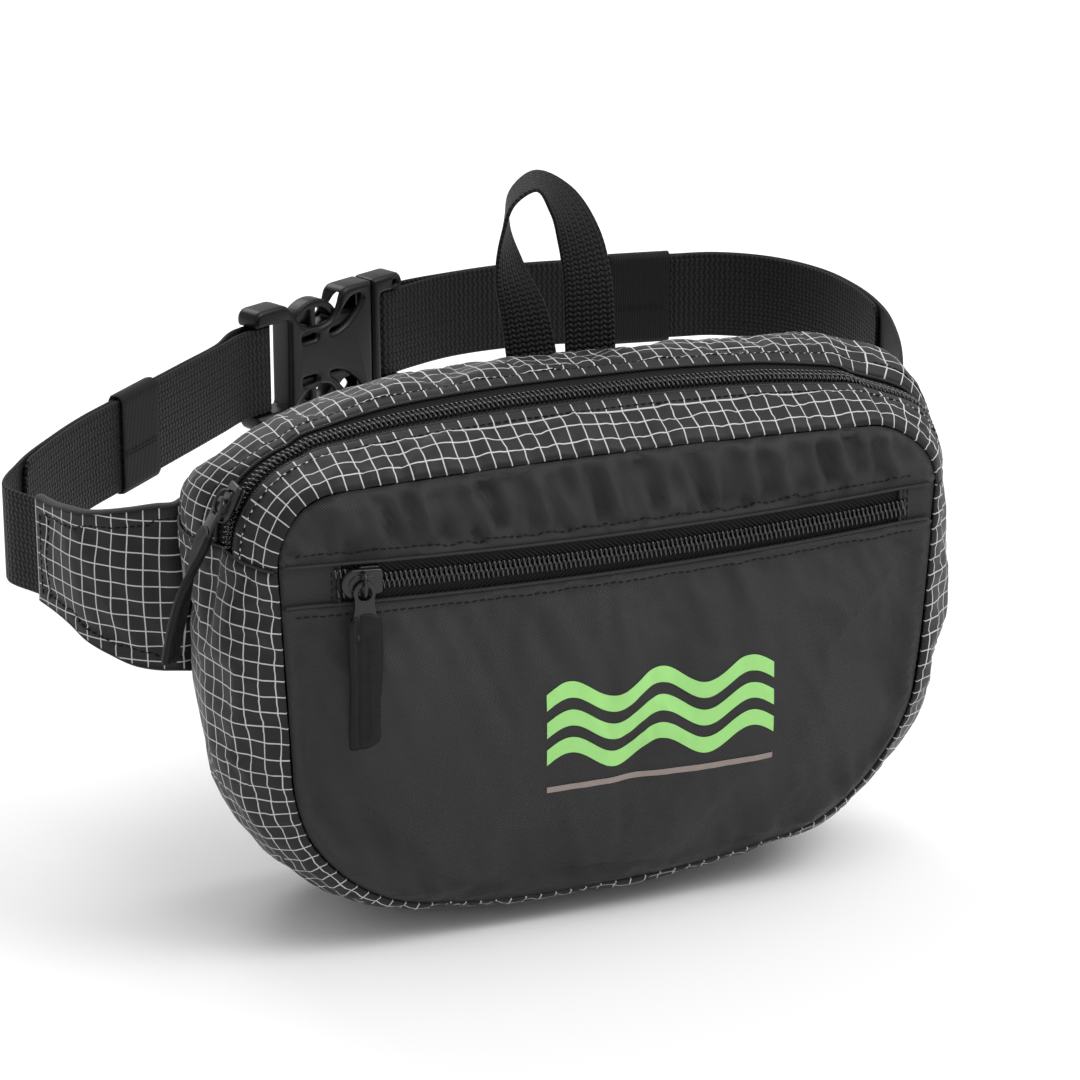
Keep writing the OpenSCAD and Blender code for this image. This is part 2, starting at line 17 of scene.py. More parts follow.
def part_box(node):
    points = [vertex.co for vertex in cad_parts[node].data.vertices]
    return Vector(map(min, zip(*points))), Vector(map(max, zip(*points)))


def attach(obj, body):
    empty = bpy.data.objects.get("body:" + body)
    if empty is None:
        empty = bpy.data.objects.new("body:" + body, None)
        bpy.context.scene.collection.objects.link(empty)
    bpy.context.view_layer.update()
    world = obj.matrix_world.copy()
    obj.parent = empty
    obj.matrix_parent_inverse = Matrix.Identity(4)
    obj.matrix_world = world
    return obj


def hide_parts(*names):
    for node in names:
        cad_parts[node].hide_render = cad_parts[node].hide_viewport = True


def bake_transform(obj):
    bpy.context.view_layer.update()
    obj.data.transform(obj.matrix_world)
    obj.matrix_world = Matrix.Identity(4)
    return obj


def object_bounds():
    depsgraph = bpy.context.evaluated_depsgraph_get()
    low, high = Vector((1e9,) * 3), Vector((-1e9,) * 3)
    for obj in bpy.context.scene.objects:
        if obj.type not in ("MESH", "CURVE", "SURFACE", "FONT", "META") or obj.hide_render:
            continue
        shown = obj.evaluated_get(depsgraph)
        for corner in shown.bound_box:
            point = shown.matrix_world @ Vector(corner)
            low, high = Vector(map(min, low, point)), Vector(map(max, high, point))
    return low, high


MM = 0.001
CLOTH_UV = "Cloth"
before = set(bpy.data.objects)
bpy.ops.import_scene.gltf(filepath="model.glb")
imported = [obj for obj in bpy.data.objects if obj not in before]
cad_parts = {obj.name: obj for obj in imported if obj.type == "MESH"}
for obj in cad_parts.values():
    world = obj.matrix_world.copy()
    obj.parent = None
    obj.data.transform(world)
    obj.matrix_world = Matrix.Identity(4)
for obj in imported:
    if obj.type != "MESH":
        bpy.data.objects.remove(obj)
cad_low, cad_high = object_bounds()


def corners(node):
    """A CAD node's lowest and highest corner, in millimetres."""
    low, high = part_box(node)
    return np.array(low) / MM, np.array(high) / MM


# ---- driving sizes, from the frame where it has them ----
panel_low, panel_high = corners("front_panel_lower")
half_w = panel_high[0]
panel_bottom = panel_low[2]
panel_crown = corners("front_panel_upper")[1][2]
front_y = panel_low[1]
top_crown, bottom_crown = 2.5, 6.0
top_r, bottom_r, side_taper = 26.0, 56.0, 4.0
corner_x, corner_z = half_w - top_r, panel_crown - top_crown - top_r
low_x, low_z = half_w - side_taper - bottom_r, panel_bottom + bottom_crown + bottom_r
back_out = 9.0
coil_low, coil_high = corners("front_zip_coil_upper")
zip_x0, zip_x1 = coil_low[0], coil_high[0]
zip_z = coil_low[2]
window_low, window_top = corners("front_zip_tape_lower")[0][2], corners("front_zip_tape_upper")[1][2]
belt_low, belt_high = corners("belt_strap_left")
belt_z = (belt_low[2] + belt_high[2]) / 2
belt_w, web_t = belt_high[2] - belt_low[2], 1.6

# Thickness of each kind of cloth
TAPE_T, WING_T, LINING_T, CLOTH_T, PAD_T, PRINT_T = 0.6, 0.7, 0.8, 0.9, 1.2, 0.06

# Stations behind the front seam, and how far the wall stands out from the seam at each of them
STATIONS = [0, 4.5, 10, 15, 21, 28, 35, 41, 52, 66, 80]
CROWN = [0, 4, 7, 9.5, 12, 14, 16.5, 18.5, 19, 16.5, 9]
CORNER = [0, 3.5, 5.5, 7, 8, 8.5, 9.5, 14, 17, 15, 9]
SIDE = [0, 6, 10.5, 13.5, 15, 16, 17, 17, 16.5, 14, 9]
BOTTOM = [0, 3, 5, 6.5, 8, 9, 10, 10.5, 11, 10.5, 9]
# Depths of the front strip's hem, the top zip's middle, the back strip's hem and the back seam
STRIP_END, COIL_MID, STRIP_START, BACK_END = 21.0, 28.0, 36.0, 78.6
# How far the filled cloth hangs below the CAD solid that it stands for
BELLY_SAG = 2.2


# ---- curves and grids ----
def step_up(a, b, t):
    """0 below a, 1 above b, smooth between."""
    t = np.clip((np.asarray(t, float) - a) / (b - a), 0, 1)
    return t * t * (3 - 2 * t)


def through(xs, ys, t):
    """Smooth curve through (xs, ys), at t."""
    xs, ys, t = np.asarray(xs, float), np.asarray(ys, float), np.asarray(t, float)
    slope = np.gradient(ys, xs, axis=0)
    i = np.clip(np.searchsorted(xs, t) - 1, 0, len(xs) - 2)
    h = xs[i + 1] - xs[i]
    f = np.clip((t - xs[i]) / h, 0, 1)
    if ys.ndim > 1:
        h, f = h[..., None], f[..., None]
    a, b = 2 * f**3 - 3 * f**2 + 1, f**3 - 2 * f**2 + f
    return a * ys[i] + b * h * slope[i] + (1 - a) * ys[i + 1] + (f**3 - f**2) * h * slope[i + 1]


def run_of(points):
    """Distance along a line of points."""
    return np.r_[0, np.cumsum(np.linalg.norm(np.diff(points, axis=0), axis=1))]


def resample(points, step):
    """The same line with its points an even step apart."""
    points = np.asarray(points, float)
    run = run_of(points)
    at = np.linspace(0, run[-1], max(2, round(run[-1] / step)) + 1)
    return np.stack([np.interp(at, run, points[:, k]) for k in range(points.shape[1])], 1)


def spline(points, step):
    """Smooth line through the points, resampled."""
    points = np.array(points, float)
    run = run_of(points[:, :3])
    return resample(through(run, points, np.linspace(0, run[-1], 40 * len(points))), step)


def unit(v):
    """Vectors scaled to length one."""
    return v / np.maximum(np.linalg.norm(v, axis=-1, keepdims=True), 1e-9)


def tangents(path, closed):
    """Direction of a line at each of its points."""
    step = np.roll(path, -1, 0) - np.roll(path, 1, 0) if closed else np.gradient(path, axis=0)
    return unit(step)


def ripple(u, v, seed):
    """Seeded smooth noise, about -1 to 1, at each pair of coordinates."""
    u, v = np.broadcast_arrays(np.asarray(u, float), np.asarray(v, float))
    flat = [noise.noise(Vector((a, b, seed * 7.31))) for a, b in zip(u.ravel(), v.ravel())]
    return np.array(flat).reshape(u.shape) * 1.6


def grid_faces(nu, nv, close_u=False, close_v=False):
    """Quads of a grid of nu by nv points, its second index running fastest."""
    faces = []
    for i in range(nu if close_u else nu - 1):
        for j in range(nv if close_v else nv - 1):
            a, b = i * nv, ((i + 1) % nu) * nv
            k = (j + 1) % nv
            faces.append((a + j, b + j, b + k, a + k))
    return faces


# ---- the bag's outline and wall ----
def half_outline():
    """Right half of the front seam, from the crown's middle to the belly's: x, z."""
    rows = [(x, panel_crown - top_crown * (x / corner_x) ** 2) for x in np.linspace(0, corner_x, 80)]
    for a in np.radians(np.linspace(88, 0, 40)):
        rows.append((corner_x + top_r * math.cos(a), corner_z + top_r * math.sin(a)))
    for f in np.linspace(0.03, 1, 50):
        rows.append((half_w - side_taper * f, corner_z + (low_z - corner_z) * f))
    for a in np.radians(np.linspace(-2, -90, 60)):
        rows.append((low_x + bottom_r * math.cos(a), low_z + bottom_r * math.sin(a)))
    for x in np.linspace(low_x, 0, 50)[1:]:
        rows.append((x, panel_bottom + bottom_crown * (x / low_x) ** 2))
    return np.array(rows)


def outline_table():
    """The closed front seam as evenly spaced rows: x, z, outward x, outward z, blend; and its length."""
    half = half_outline()
    left = half[-2:0:-1] * [-1, 1]
    ring = np.vstack([half, left, half[:1]])
    ring = resample(ring, 0.5)
    for _ in range(12):
        body = ring[:-1]
        body = (np.roll(body, 1, 0) + 2 * body + np.roll(body, -1, 0)) / 4
        ring = np.vstack([body, body[:1]])
    run = run_of(ring)
    tangent = unit(np.roll(ring[:-1], -1, 0) - np.roll(ring[:-1], 1, 0))
    out = np.stack([-tangent[:, 1], tangent[:, 0]], 1)
    out = np.vstack([out, out[:1]])
    # the wall's section by height: -1 is BOTTOM, 0 is SIDE, 1 is CORNER and 2 is CROWN
    height = [-200, -80, -65, -25, -8, 12, 32, 50, 75.1, 76.1, 77.2, 78.3, 90]
    blend = np.interp(ring[:, 1], height, [-1, -1, -0.5, 0, 0, 0.2, 0.6, 1, 1, 1.4, 1.8, 2, 2])
    return np.column_stack([ring, out, blend]), run


OUTLINE, OUTLINE_RUN = outline_table()
ROUND = OUTLINE_RUN[-1]
SEAM_RING = OUTLINE[::6, :2]


def seam(s):
    """Rows of the outline at distance s from the crown's middle, going down the right side first."""
    s = np.mod(s, ROUND)
    return np.stack([np.interp(s, OUTLINE_RUN, OUTLINE[:, k]) for k in range(5)], -1)


# Where the zip gusset meets the bottom gusset
FOOT = OUTLINE_RUN[np.argmax((OUTLINE[:, 1] < corner_z) & (OUTLINE_RUN < ROUND / 2))]


def stands_out(depth, blend):
    """How far the wall stands out from the front seam, between the sections that blend names."""
    bottom, side, corner, crown = (through(STATIONS, p, depth) for p in (BOTTOM, SIDE, CORNER, CROWN))
    under, low, high = np.clip(-blend, 0, 1), np.clip(blend, 0, 1), np.clip(blend - 1, 0, 1)
    return bottom * under + side * (1 - low - under) + corner * (low - high) + crown * high


def wall(s, depth, lift=0.0):
    """Points of the bag's wall, at distance s along the front seam and a depth behind it."""
    s, depth, lift = np.broadcast_arrays(s, depth, lift)
    row = seam(s)
    out = stands_out(depth, row[..., 4]) + lift
    return np.stack([row[..., 0] + row[..., 2] * out, front_y + depth, row[..., 1] + row[..., 3] * out], -1)


def hill(x, z, at_x, at_z, wide, tall):
    """1 at a spot of the bag's front view, fading out over a width and a height."""
    return np.exp(-(((x - at_x) / wide) ** 2 + ((z - at_z) / tall) ** 2))


def settle(points):
    """Shifts points of the even bag to where a filled one has them: the front bulges, the right side is
    fuller, the lower right corner is slack and the rear of the upper left one has fallen."""
    p = np.array(points, float)
    x, y, z = p[..., 0], p[..., 1], p[..., 2]
    front = 1 - step_up(front_y + 2, front_y + 22, y)
    rear = step_up(front_y + 24, front_y + 80, y)
    bulge = 4.2 * np.clip(1 - (x / 112) ** 2, 0, 1) * np.clip(1 - ((z - 10) / 88) ** 2, 0, 1) ** 0.5 * front
    right = (2.6 + 4.5 * step_up(front_y, front_y + 30, y)) * step_up(112, 126, x) * step_up(-70, 0, z)
    left = 1.6 * step_up(112, 124, -x) * front
    slack = hill(x, z, 104, -62, 32, 32)
    full = hill(x, z, -62, -84, 44, 22) * (1 - 0.8 * rear)
    fallen = hill(x, z, -120, 88, 34, 22) * (0.25 * step_up(front_y + 30, front_y + 45, y) + 0.75 * rear)
    p[..., 0] = x + right + left - 2.2 * slack
    p[..., 1] = y - bulge
    p[..., 2] = z + 2.6 * slack - 3.4 * full - 13.0 * fallen
    return p


# ---- making pieces ----
def dress(o, material, body="bag", slot=None, replaces=()):
    """Gives a piece its material, its body and the CAD nodes that it stands for; slot is not used."""
    if material is not None and not len(o.data.materials):
        o.data.materials.append(material)
    if body:
        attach(o, body)
    if replaces:
        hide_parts(*replaces)
    return o


def make(name, points, faces, material, body="bag", slot=None, uv=None, replaces=()):
    """A mesh piece from points in millimetres."""
    mesh = bpy.data.meshes.new(name)
    points = np.asarray(points, float).reshape(-1, 3)
    mesh.from_pydata((points * MM).tolist(), [], [tuple(map(int, f)) for f in faces])
    mesh.polygons.foreach_set("use_smooth", [True] * len(mesh.polygons))
    if uv is not None:
        loops = np.zeros(len(mesh.loops), int)
        mesh.loops.foreach_get("vertex_index", loops)
        flat = (np.asarray(uv, float).reshape(-1, 2)[loops] * MM).astype(np.float32).ravel()
        mesh.uv_layers.new(name=CLOTH_UV).data.foreach_set("uv", flat)
    o = bpy.data.objects.new(name, mesh)
    bpy.context.scene.collection.objects.link(o)
    return dress(o, material, body, slot, replaces)


def thicken(o, thickness):
    """Cloth thickness on the inner side, with closed edges."""
    m = o.modifiers.new("thickness", "SOLIDIFY")
    m.thickness, m.offset = thickness * MM, -1.0


def points_of(o):
    """A piece's points, in millimetres."""
    co = np.zeros(len(o.data.vertices) * 3)
    o.data.vertices.foreach_get("co", co)
    return co.reshape(-1, 3) / MM


def set_points(o, points):
    """Moves a piece's points to places in millimetres."""
    o.data.vertices.foreach_set("co", (points * MM).astype(np.float32).ravel())
    o.data.update()


def tree_of(*pieces):
    """Search tree over some pieces' surfaces, in millimetres."""
    points, faces = [], []
    for o in pieces:
        start = len(points)
        points.extend(points_of(o).tolist())
        faces.extend([tuple(start + v for v in f.vertices) for f in o.data.polygons])
    return BVHTree.FromPolygons(points, faces)


def drop(tree, points):
    """The nearest surface points and their normals."""
    found = [tree.find_nearest(Vector(p)) for p in points]
    return np.array([f[0] for f in found]), np.array([f[1] for f in found])


def tube(name, path, radius, material, sides=8, flat=1.0, up=None, closed=False, **kind):
    """A round or flattened tube along a path. up points along its flattened direction."""
    path = np.asarray(path, float)
    n = len(path)
    radius = np.broadcast_to(radius, n)
    tangent = tangents(path, closed)
    if up is None:
        ups = np.zeros_like(path)
        side = np.array([0.3, 0.2, 1.0])
        for i in range(n):
            side = side - tangent[i] * (side @ tangent[i])
            side = side / max(np.linalg.norm(side), 1e-9)
            ups[i] = side
    else:
        ups = np.broadcast_to(up, path.shape)
        ups = unit(ups - tangent * np.sum(ups * tangent, 1, keepdims=True))
    across = np.cross(tangent, ups)
    a = np.linspace(0, 2 * math.pi, sides, endpoint=False)
    ring = path[:, None] + radius[:, None, None] * (
        across[:, None] * np.cos(a)[None, :, None] + ups[:, None] * flat * np.sin(a)[None, :, None]
    )
    faces = grid_faces(n, sides, close_u=closed, close_v=True)
    if not closed:
        faces += [tuple(range(sides)), tuple(range(n * sides - 1, (n - 1) * sides - 1, -1))]
    run = run_of(path)
    uv = np.stack(np.broadcast_arrays(run[:, None], a[None, :] * radius.mean()), -1)
    return make(name, ring, faces, material, uv=uv, **kind)


def ribbon(name, path, across, width, thickness, material, closed=False, ends=(0, 0), **kind):
    """Flat webbing with rounded edges. ends are the corner radii at its two ends."""
    path, n = np.asarray(path, float), len(path)
    across = unit(np.broadcast_to(across, path.shape))
    tangent = tangents(path, closed)
    normal = unit(np.cross(tangent, across))
    run = run_of(path)
    width = np.broadcast_to(width, n).astype(float).copy()
    for k, r in enumerate(ends):
        if r:
            gone = np.clip(1 - (run if k == 0 else run[-1] - run) / r, 0, 1)
            width -= 2 * r * (1 - np.sqrt(1 - gone**2))
    h = thickness / 2
    # the section runs over one face, round an edge, back under the other face and round the other edge
    across_n = 11
    flat_half = width[:, None] / 2 - h * 0.9
    face_b = np.linspace(-1, 1, across_n)[None, :] * flat_half
    edge_a = np.radians([45, 0, -45])
    edge_b = flat_half + h * np.cos(edge_a)[None, :] * 0.9
    section_b = np.concatenate([face_b, edge_b, face_b[:, ::-1], -edge_b], 1)
    section_a = np.concatenate([np.full(across_n, h), h * np.sin(edge_a),
                                np.full(across_n, -h), -h * np.sin(edge_a)])
    ring = path[:, None] + across[:, None] * section_b[..., None] + normal[:, None] * section_a[None, :, None]
    m = ring.shape[1]
    faces = grid_faces(n, m, close_u=closed, close_v=True)
    if not closed:
        faces += [tuple(range(m)), tuple(range(n * m - 1, (n - 1) * m - 1, -1))]
    uv = np.stack(np.broadcast_arrays(run[:, None], section_b), -1)
    return make(name, ring, faces, material, uv=uv, **kind)


def stitches(name, path, normal, material, pitch=2.9, length=2.1, radius=0.26, lift=0.05, **kind):
    """A line of stitches: short capsules lying on the surface, end to end along a path."""
    path, normal = np.asarray(path, float), np.asarray(normal, float)
    run = run_of(path)
    count = int(run[-1] / pitch)
    along = np.array([-0.5, -0.36, 0, 0.36, 0.5]) * length
    fat = np.array([0.35, 0.85, 1, 0.85, 0.35]) * radius
    a = np.radians([0, 60, 120, 180, 240, 300])
    rings, sides = len(along), len(a)
    last = rings * sides - 1
    points, faces = [], []
    for k in range(count):
        s = (k + 0.5) * pitch
        ends = [np.array([np.interp(q, run, path[:, c]) for c in range(3)]) for q in (s - 0.6, s + 0.6)]
        n = unit(np.array([np.interp(s, run, normal[:, c]) for c in range(3)]))
        middle, t = (ends[0] + ends[1]) / 2, unit(ends[1] - ends[0])
        side = np.cross(n, t)
        start = len(points)
        for d, r in zip(along, fat):
            for q in a:
                points.append(middle + t * d + side * r * math.cos(q) + n * (r * math.sin(q) + lift))
        faces += [tuple(start + v for v in f) for f in grid_faces(rings, sides, close_v=True)]
        faces.append(tuple(range(start, start + sides)))
        faces.append(tuple(range(start + last, start + last - sides, -1)))
    return make(name, points, faces, material, **kind)


def sewn(name, tree, path, material, **kind):
    """Stitches along a path that is first laid onto a surface."""
    at, normal = drop(tree, resample(path, 1.0))
    return stitches(name, at, normal, material, **kind)


QUARTER_TURN_X = Matrix.Rotation(math.radians(90), 4, "X")


def flat_plate(name, loops, thickness, bevel, place, material, segments=3, **kind):
    """A plate with rounded edges from closed outlines in its own plane; inner loops are holes."""
    curve = bpy.data.curves.new(name, "CURVE")
    curve.dimensions, curve.fill_mode = "2D", "BOTH"
    curve.extrude, curve.bevel_depth = (thickness / 2 - bevel) * MM, bevel * MM
    curve.offset, curve.bevel_resolution = -bevel * MM, segments
    for loop in loops:
        line = curve.splines.new("POLY")
        line.points.add(len(loop) - 1)
        line.use_cyclic_u = True
        for point, (x, z) in zip(line.points, loop):
            point.co = (x * MM, z * MM, 0, 1)
    made = bpy.data.objects.new(name + "_line", curve)
    bpy.context.scene.collection.objects.link(made)
    bpy.context.view_layer.update()
    mesh = bpy.data.meshes.new_from_object(made.evaluated_get(bpy.context.evaluated_depsgraph_get()))
    bpy.data.objects.remove(made)
    mesh.name = name
    mesh.transform(place @ QUARTER_TURN_X)
    weld(mesh)
    o = bpy.data.objects.new(name, mesh)
    bpy.context.scene.collection.objects.link(o)
    mesh.materials.clear()
    smooth_faces(mesh)
    return dress(o, material, **kind)


def smooth_faces(mesh):
    """Smooth shading, with the hard edges kept sharp."""
    mesh.polygons.foreach_set("use_smooth", [True] * len(mesh.polygons))
    mesh.set_sharp_from_angle(angle=math.radians(38))


def weld(mesh):
    """Joins points that lie on each other."""
    b = bmesh.new()
    b.from_mesh(mesh)
    bmesh.ops.remove_doubles(b, verts=b.verts, dist=0.005 * MM)
    b.to_mesh(mesh)
    b.free()


def arc(cx, cz, r, a0, a1, n=8):
    """Points round part of a circle."""
    return [(cx + r * math.cos(a), cz + r * math.sin(a)) for a in np.radians(np.linspace(a0, a1, n))]


def rounded(points, r, n=4):
    """A closed outline with its corners rounded to radius r or to what fits."""
    made = []
    count = len(points)
    for i in range(count):
        p, a, b = (np.array(points[k % count], float) for k in (i, i - 1, i + 1))
        da, db = a - p, b - p
        la, lb = np.linalg.norm(da), np.linalg.norm(db)
        cut = min(r, la * 0.45, lb * 0.45)
        start, end = p + da / la * cut, p + db / lb * cut
        for t in np.linspace(0, 1, n):
            made.append(tuple((1 - t) ** 2 * start + 2 * t * (1 - t) * p + t**2 * end))
    return made


# ---- materials ----
class Shade:
    """Short way to build a node material on the cloth's own coordinates, in millimetres."""

    def __init__(self, name, rough=0.6, sheen=0.0, specular=0.4, metallic=0.0, coat=0.0):
        self.material = bpy.data.materials.new(name)
        self.material.use_nodes = True
        self.tree = self.material.node_tree
        self.shader = self.tree.nodes["Principled BSDF"]
        self.shader.inputs["Roughness"].default_value = rough
        self.shader.inputs["Sheen Weight"].default_value = sheen
        self.shader.inputs["Sheen Roughness"].default_value = 0.45
        self.shader.inputs["Specular IOR Level"].default_value = specular
        self.shader.inputs["Metallic"].default_value = metallic
        self.shader.inputs["Coat Weight"].default_value = coat

    def node(self, kind, **values):
        """A new node with some of its settings."""
        made = self.tree.nodes.new(kind)
        for key, value in values.items():
            setattr(made, key, value)
        return made

    def link(self, a, b):
        self.tree.links.new(a, b)

    def math(self, operation, a, b=None, c=None):
        """A math node on sockets or numbers."""
        made = self.node("ShaderNodeMath", operation=operation)
        for socket, value in zip(made.inputs, (a, b, c)):
            if isinstance(value, (int, float)):
                socket.default_value = value
            elif value is not None:
                self.link(value, socket)
        return made.outputs[0]

    def cloth(self):
        """u along and v across the cloth, in millimetres."""
        uv = self.node("ShaderNodeUVMap", uv_map=CLOTH_UV)
        apart = self.node("ShaderNodeSeparateXYZ")
        self.link(uv.outputs[0], apart.inputs[0])
        return tuple(self.math("MULTIPLY", apart.outputs[k], 1 / MM) for k in (0, 1))

    def solid(self, scale, detail=3.0):
        """Noise fixed in the piece's own space; scale is in features per metre."""
        place = self.node("ShaderNodeTexCoord")
        made = self.node("ShaderNodeTexNoise")
        made.inputs["Scale"].default_value = scale
        made.inputs["Detail"].default_value = detail
        made.inputs["Roughness"].default_value = 0.55
        self.link(place.outputs["Object"], made.inputs["Vector"])
        return made.outputs["Fac"]

    def wave(self, t, pitch):
        """0 to 1 and back over each pitch of t."""
        turned = self.math("SINE", self.math("MULTIPLY", t, 2 * math.pi / pitch))
        return self.math("MULTIPLY_ADD", turned, 0.5, 0.5)

    def ramp(self, t, *stops):
        """Colour by t between stops of position and colour."""
        made = self.node("ShaderNodeValToRGB")
        elements = made.color_ramp.elements
        while len(elements) < len(stops):
            elements.new(0.5)
        for element, (at, colour) in zip(elements, stops):
            element.position, element.color = at, (*colour, 1)
        self.link(t, made.inputs[0])
        return made.outputs[0]

    def mix(self, t, a, b):
        """Colour from a to b as t goes from 0 to 1."""
        made = self.node("ShaderNodeMix", data_type="RGBA")
        self.link(t, made.inputs[0])
        for socket, value in ((made.inputs[6], a), (made.inputs[7], b)):
            if isinstance(value, tuple):
                socket.default_value = (*value, 1)
            else:
                self.link(value, socket)
        return made.outputs[2]

    def grain(self, t, low, high):
        """Colour between two greys or colours as t goes from 0 to 1."""
        return self.ramp(t, (0.0, low), (1.0, high))

    def finish(self, colour, height, depth=0.2, strength=0.6, rough=None):
        """Connects the colour, the relief and the roughness, and gives the material."""
        self.link(colour, self.shader.inputs["Base Color"])
        if rough is not None:
            self.link(rough, self.shader.inputs["Roughness"])
        bump = self.node("ShaderNodeBump")
        bump.inputs["Strength"].default_value = strength
        bump.inputs["Distance"].default_value = depth * MM
        self.link(height, bump.inputs["Height"])
        self.link(bump.outputs[0], self.shader.inputs["Normal"])
        return self.material


def grey(level, warm=0.0):
    """A grey, or a slightly warm one."""
    return (level * (1 + warm), level, level * (1 - warm))


def grid_cloth():
    """Black ripstop with a fine white grid, 6 mm between lines."""
    s = Shade("grid_ripstop", rough=0.5, sheen=0.03, specular=0.22)
    u, v = s.cloth()
    pitch, line = 6.0, 0.22
    masks = []
    for t in (u, v):
        off = s.math("ABSOLUTE", s.math("SUBTRACT", s.math("FRACT", s.math("DIVIDE", t, pitch)), 0.5))
        edge = s.node("ShaderNodeMapRange", interpolation_type="SMOOTHSTEP")
        edge.inputs["From Min"].default_value = (line + 0.1) / pitch
        edge.inputs["From Max"].default_value = (line - 0.1) / pitch
        s.link(off, edge.inputs["Value"])
        masks.append(edge.outputs[0])
    lines = s.math("MAXIMUM", *masks)
    weave = s.math("MULTIPLY", s.wave(u, 0.5), s.wave(v, 0.5))
    threads = s.math("MULTIPLY_ADD", weave, 0.25, 0.75)
    ground = s.grain(s.solid(90), grey(0.0075), grey(0.016))
    white = s.grain(s.solid(700), (0.5, 0.5, 0.49), (0.78, 0.78, 0.77))
    colour = s.mix(s.math("MULTIPLY", lines, threads), ground, white)
    height = s.math("ADD", s.math("MULTIPLY", weave, 0.5), lines)
    return s.finish(colour, height, depth=0.12, strength=0.5)


def staggered_rows(s, row):
    """0 and 1 in turn from one row to the next."""
    return s.math("MODULO", s.math("ABSOLUTE", s.math("FLOOR", row)), 2.0)


def panel_cloth(name="charcoal_twill", dark=0.0025, light=0.033):
    """Charcoal twill with a fine diagonal rib."""
    s = Shade(name, rough=0.5, sheen=0.03, specular=0.27)
    u, v = s.cloth()
    rib = s.wave(s.math("ADD", u, s.math("MULTIPLY", v, 1.3)), 1.2)
    cross = s.wave(s.math("SUBTRACT", u, v), 0.9)
    weave = s.math("MULTIPLY_ADD", cross, 0.35, s.math("MULTIPLY", rib, 0.65))
    cloud = s.math("MULTIPLY_ADD", s.solid(35), 0.25, s.math("MULTIPLY", weave, 0.75))
    colour = s.grain(cloud, grey(dark), grey(light))
    rough = s.math("MULTIPLY_ADD", s.solid(60), 0.1, 0.38)
    return s.finish(colour, weave, depth=0.28, strength=0.75, rough=rough)


def webbing_cloth(name="webbing", pitch=2.3, rows=1.9):
    """Coarse woven webbing: rows of short slanted floats, each row half a step on."""
    s = Shade(name, rough=0.55, sheen=0.02, specular=0.16)
    u, v = s.cloth()
    row = s.math("DIVIDE", v, rows)
    odd = staggered_rows(s, row)
    across = s.math("PINGPONG", row, 0.5)
    slant = s.math("MULTIPLY", s.math("FRACT", row), s.math("MULTIPLY_ADD", odd, 1.4, -0.7))
    shifted = s.math("ADD", s.math("ADD", u, s.math("MULTIPLY", odd, pitch / 2)), slant)
    float_ = s.math("POWER", s.wave(shifted, pitch), 0.7)
    crown = s.math("POWER", s.math("MULTIPLY", across, 2.0), 0.5)
    height = s.math("MULTIPLY", float_, crown)
    colour = s.mix(height, grey(0.001), grey(0.015))
    fuzz = s.math("MULTIPLY_ADD", s.solid(2500, 2.0), 0.25, height)
    return s.finish(colour, fuzz, depth=0.6, strength=1.0)


def elastic_cloth():
    """Elastic with fine ribs round the belt and a close weave between them."""
    s = Shade("ribbed_elastic", rough=0.62, sheen=0.02, specular=0.14)
    u, v = s.cloth()
    height = s.math("MULTIPLY_ADD", s.wave(v, 1.05), 0.7, s.math("MULTIPLY", s.wave(u, 0.8), 0.3))
    return s.finish(s.mix(height, grey(0.002), grey(0.012)), height, depth=0.25, strength=0.7)


def tape_cloth():
    """Zip tape: herringbone ribs slanting away from the coils."""
    s = Shade("zip_tape", rough=0.55, sheen=0.02, specular=0.18)
    u, v = s.cloth()
    slant = s.math("ADD", u, s.math("MULTIPLY", s.math("ABSOLUTE", v), 1.1))
    height = s.math("MULTIPLY_ADD", s.wave(slant, 2.0), 0.85, s.math("MULTIPLY", s.wave(v, 0.6), 0.15))
    return s.finish(s.mix(height, grey(0.0015), grey(0.014)), height, depth=0.45, strength=0.9)


def lining_cloth():
    """Thin plain-woven lining."""
    s = Shade("lining_nylon", rough=0.55, sheen=0.1)
    u, v = s.cloth()
    weave = s.math("MULTIPLY", s.wave(u, 0.7), s.wave(v, 0.7))
    return s.finish(s.grain(s.solid(60), grey(0.01), grey(0.022)), weave, depth=0.15)


def mesh_cloth():
    """Spacer mesh of the back panel: staggered round holes in a knitted face."""
    s = Shade("spacer_mesh", rough=0.75, sheen=0.15, specular=0.25)
    u, v = s.cloth()
    row = s.math("DIVIDE", v, 2.2)
    odd = staggered_rows(s, row)
    column = s.math("ADD", s.math("DIVIDE", u, 2.6), s.math("MULTIPLY", odd, 0.5))
    cu = s.math("SUBTRACT", s.math("FRACT", column), 0.5)
    cv = s.math("SUBTRACT", s.math("FRACT", row), 0.5)
    away = s.math("SQRT", s.math("ADD", s.math("MULTIPLY", cu, cu), s.math("MULTIPLY", cv, cv)))
    edge = s.node("ShaderNodeMapRange", interpolation_type="SMOOTHSTEP")
    edge.inputs["From Min"].default_value, edge.inputs["From Max"].default_value = 0.2, 0.36
    s.link(away, edge.inputs["Value"])
    knit = s.math("MULTIPLY_ADD", s.wave(u, 0.65), 0.15, edge.outputs[0])
    return s.finish(s.mix(edge.outputs[0], grey(0.003), grey(0.024)), knit, depth=0.8, strength=0.9)


def plain(name, low, high, scale, rough, specular=0.4, metallic=0.0, depth=0.05, coat=0.0):
    """A moulded, enamelled or printed finish: mottled colour, uneven gloss and a slight grain."""
    s = Shade(name, rough=rough, specular=specular, metallic=metallic, coat=coat)
    fine = s.solid(scale, 4.0)
    colour = s.grain(s.solid(scale / 8), low, high)
    spread = 0.12
    uneven = s.math("MULTIPLY_ADD", s.solid(scale / 5), spread, rough - spread / 2)
    return s.finish(colour, fine, depth=depth, strength=0.4, rough=uneven)


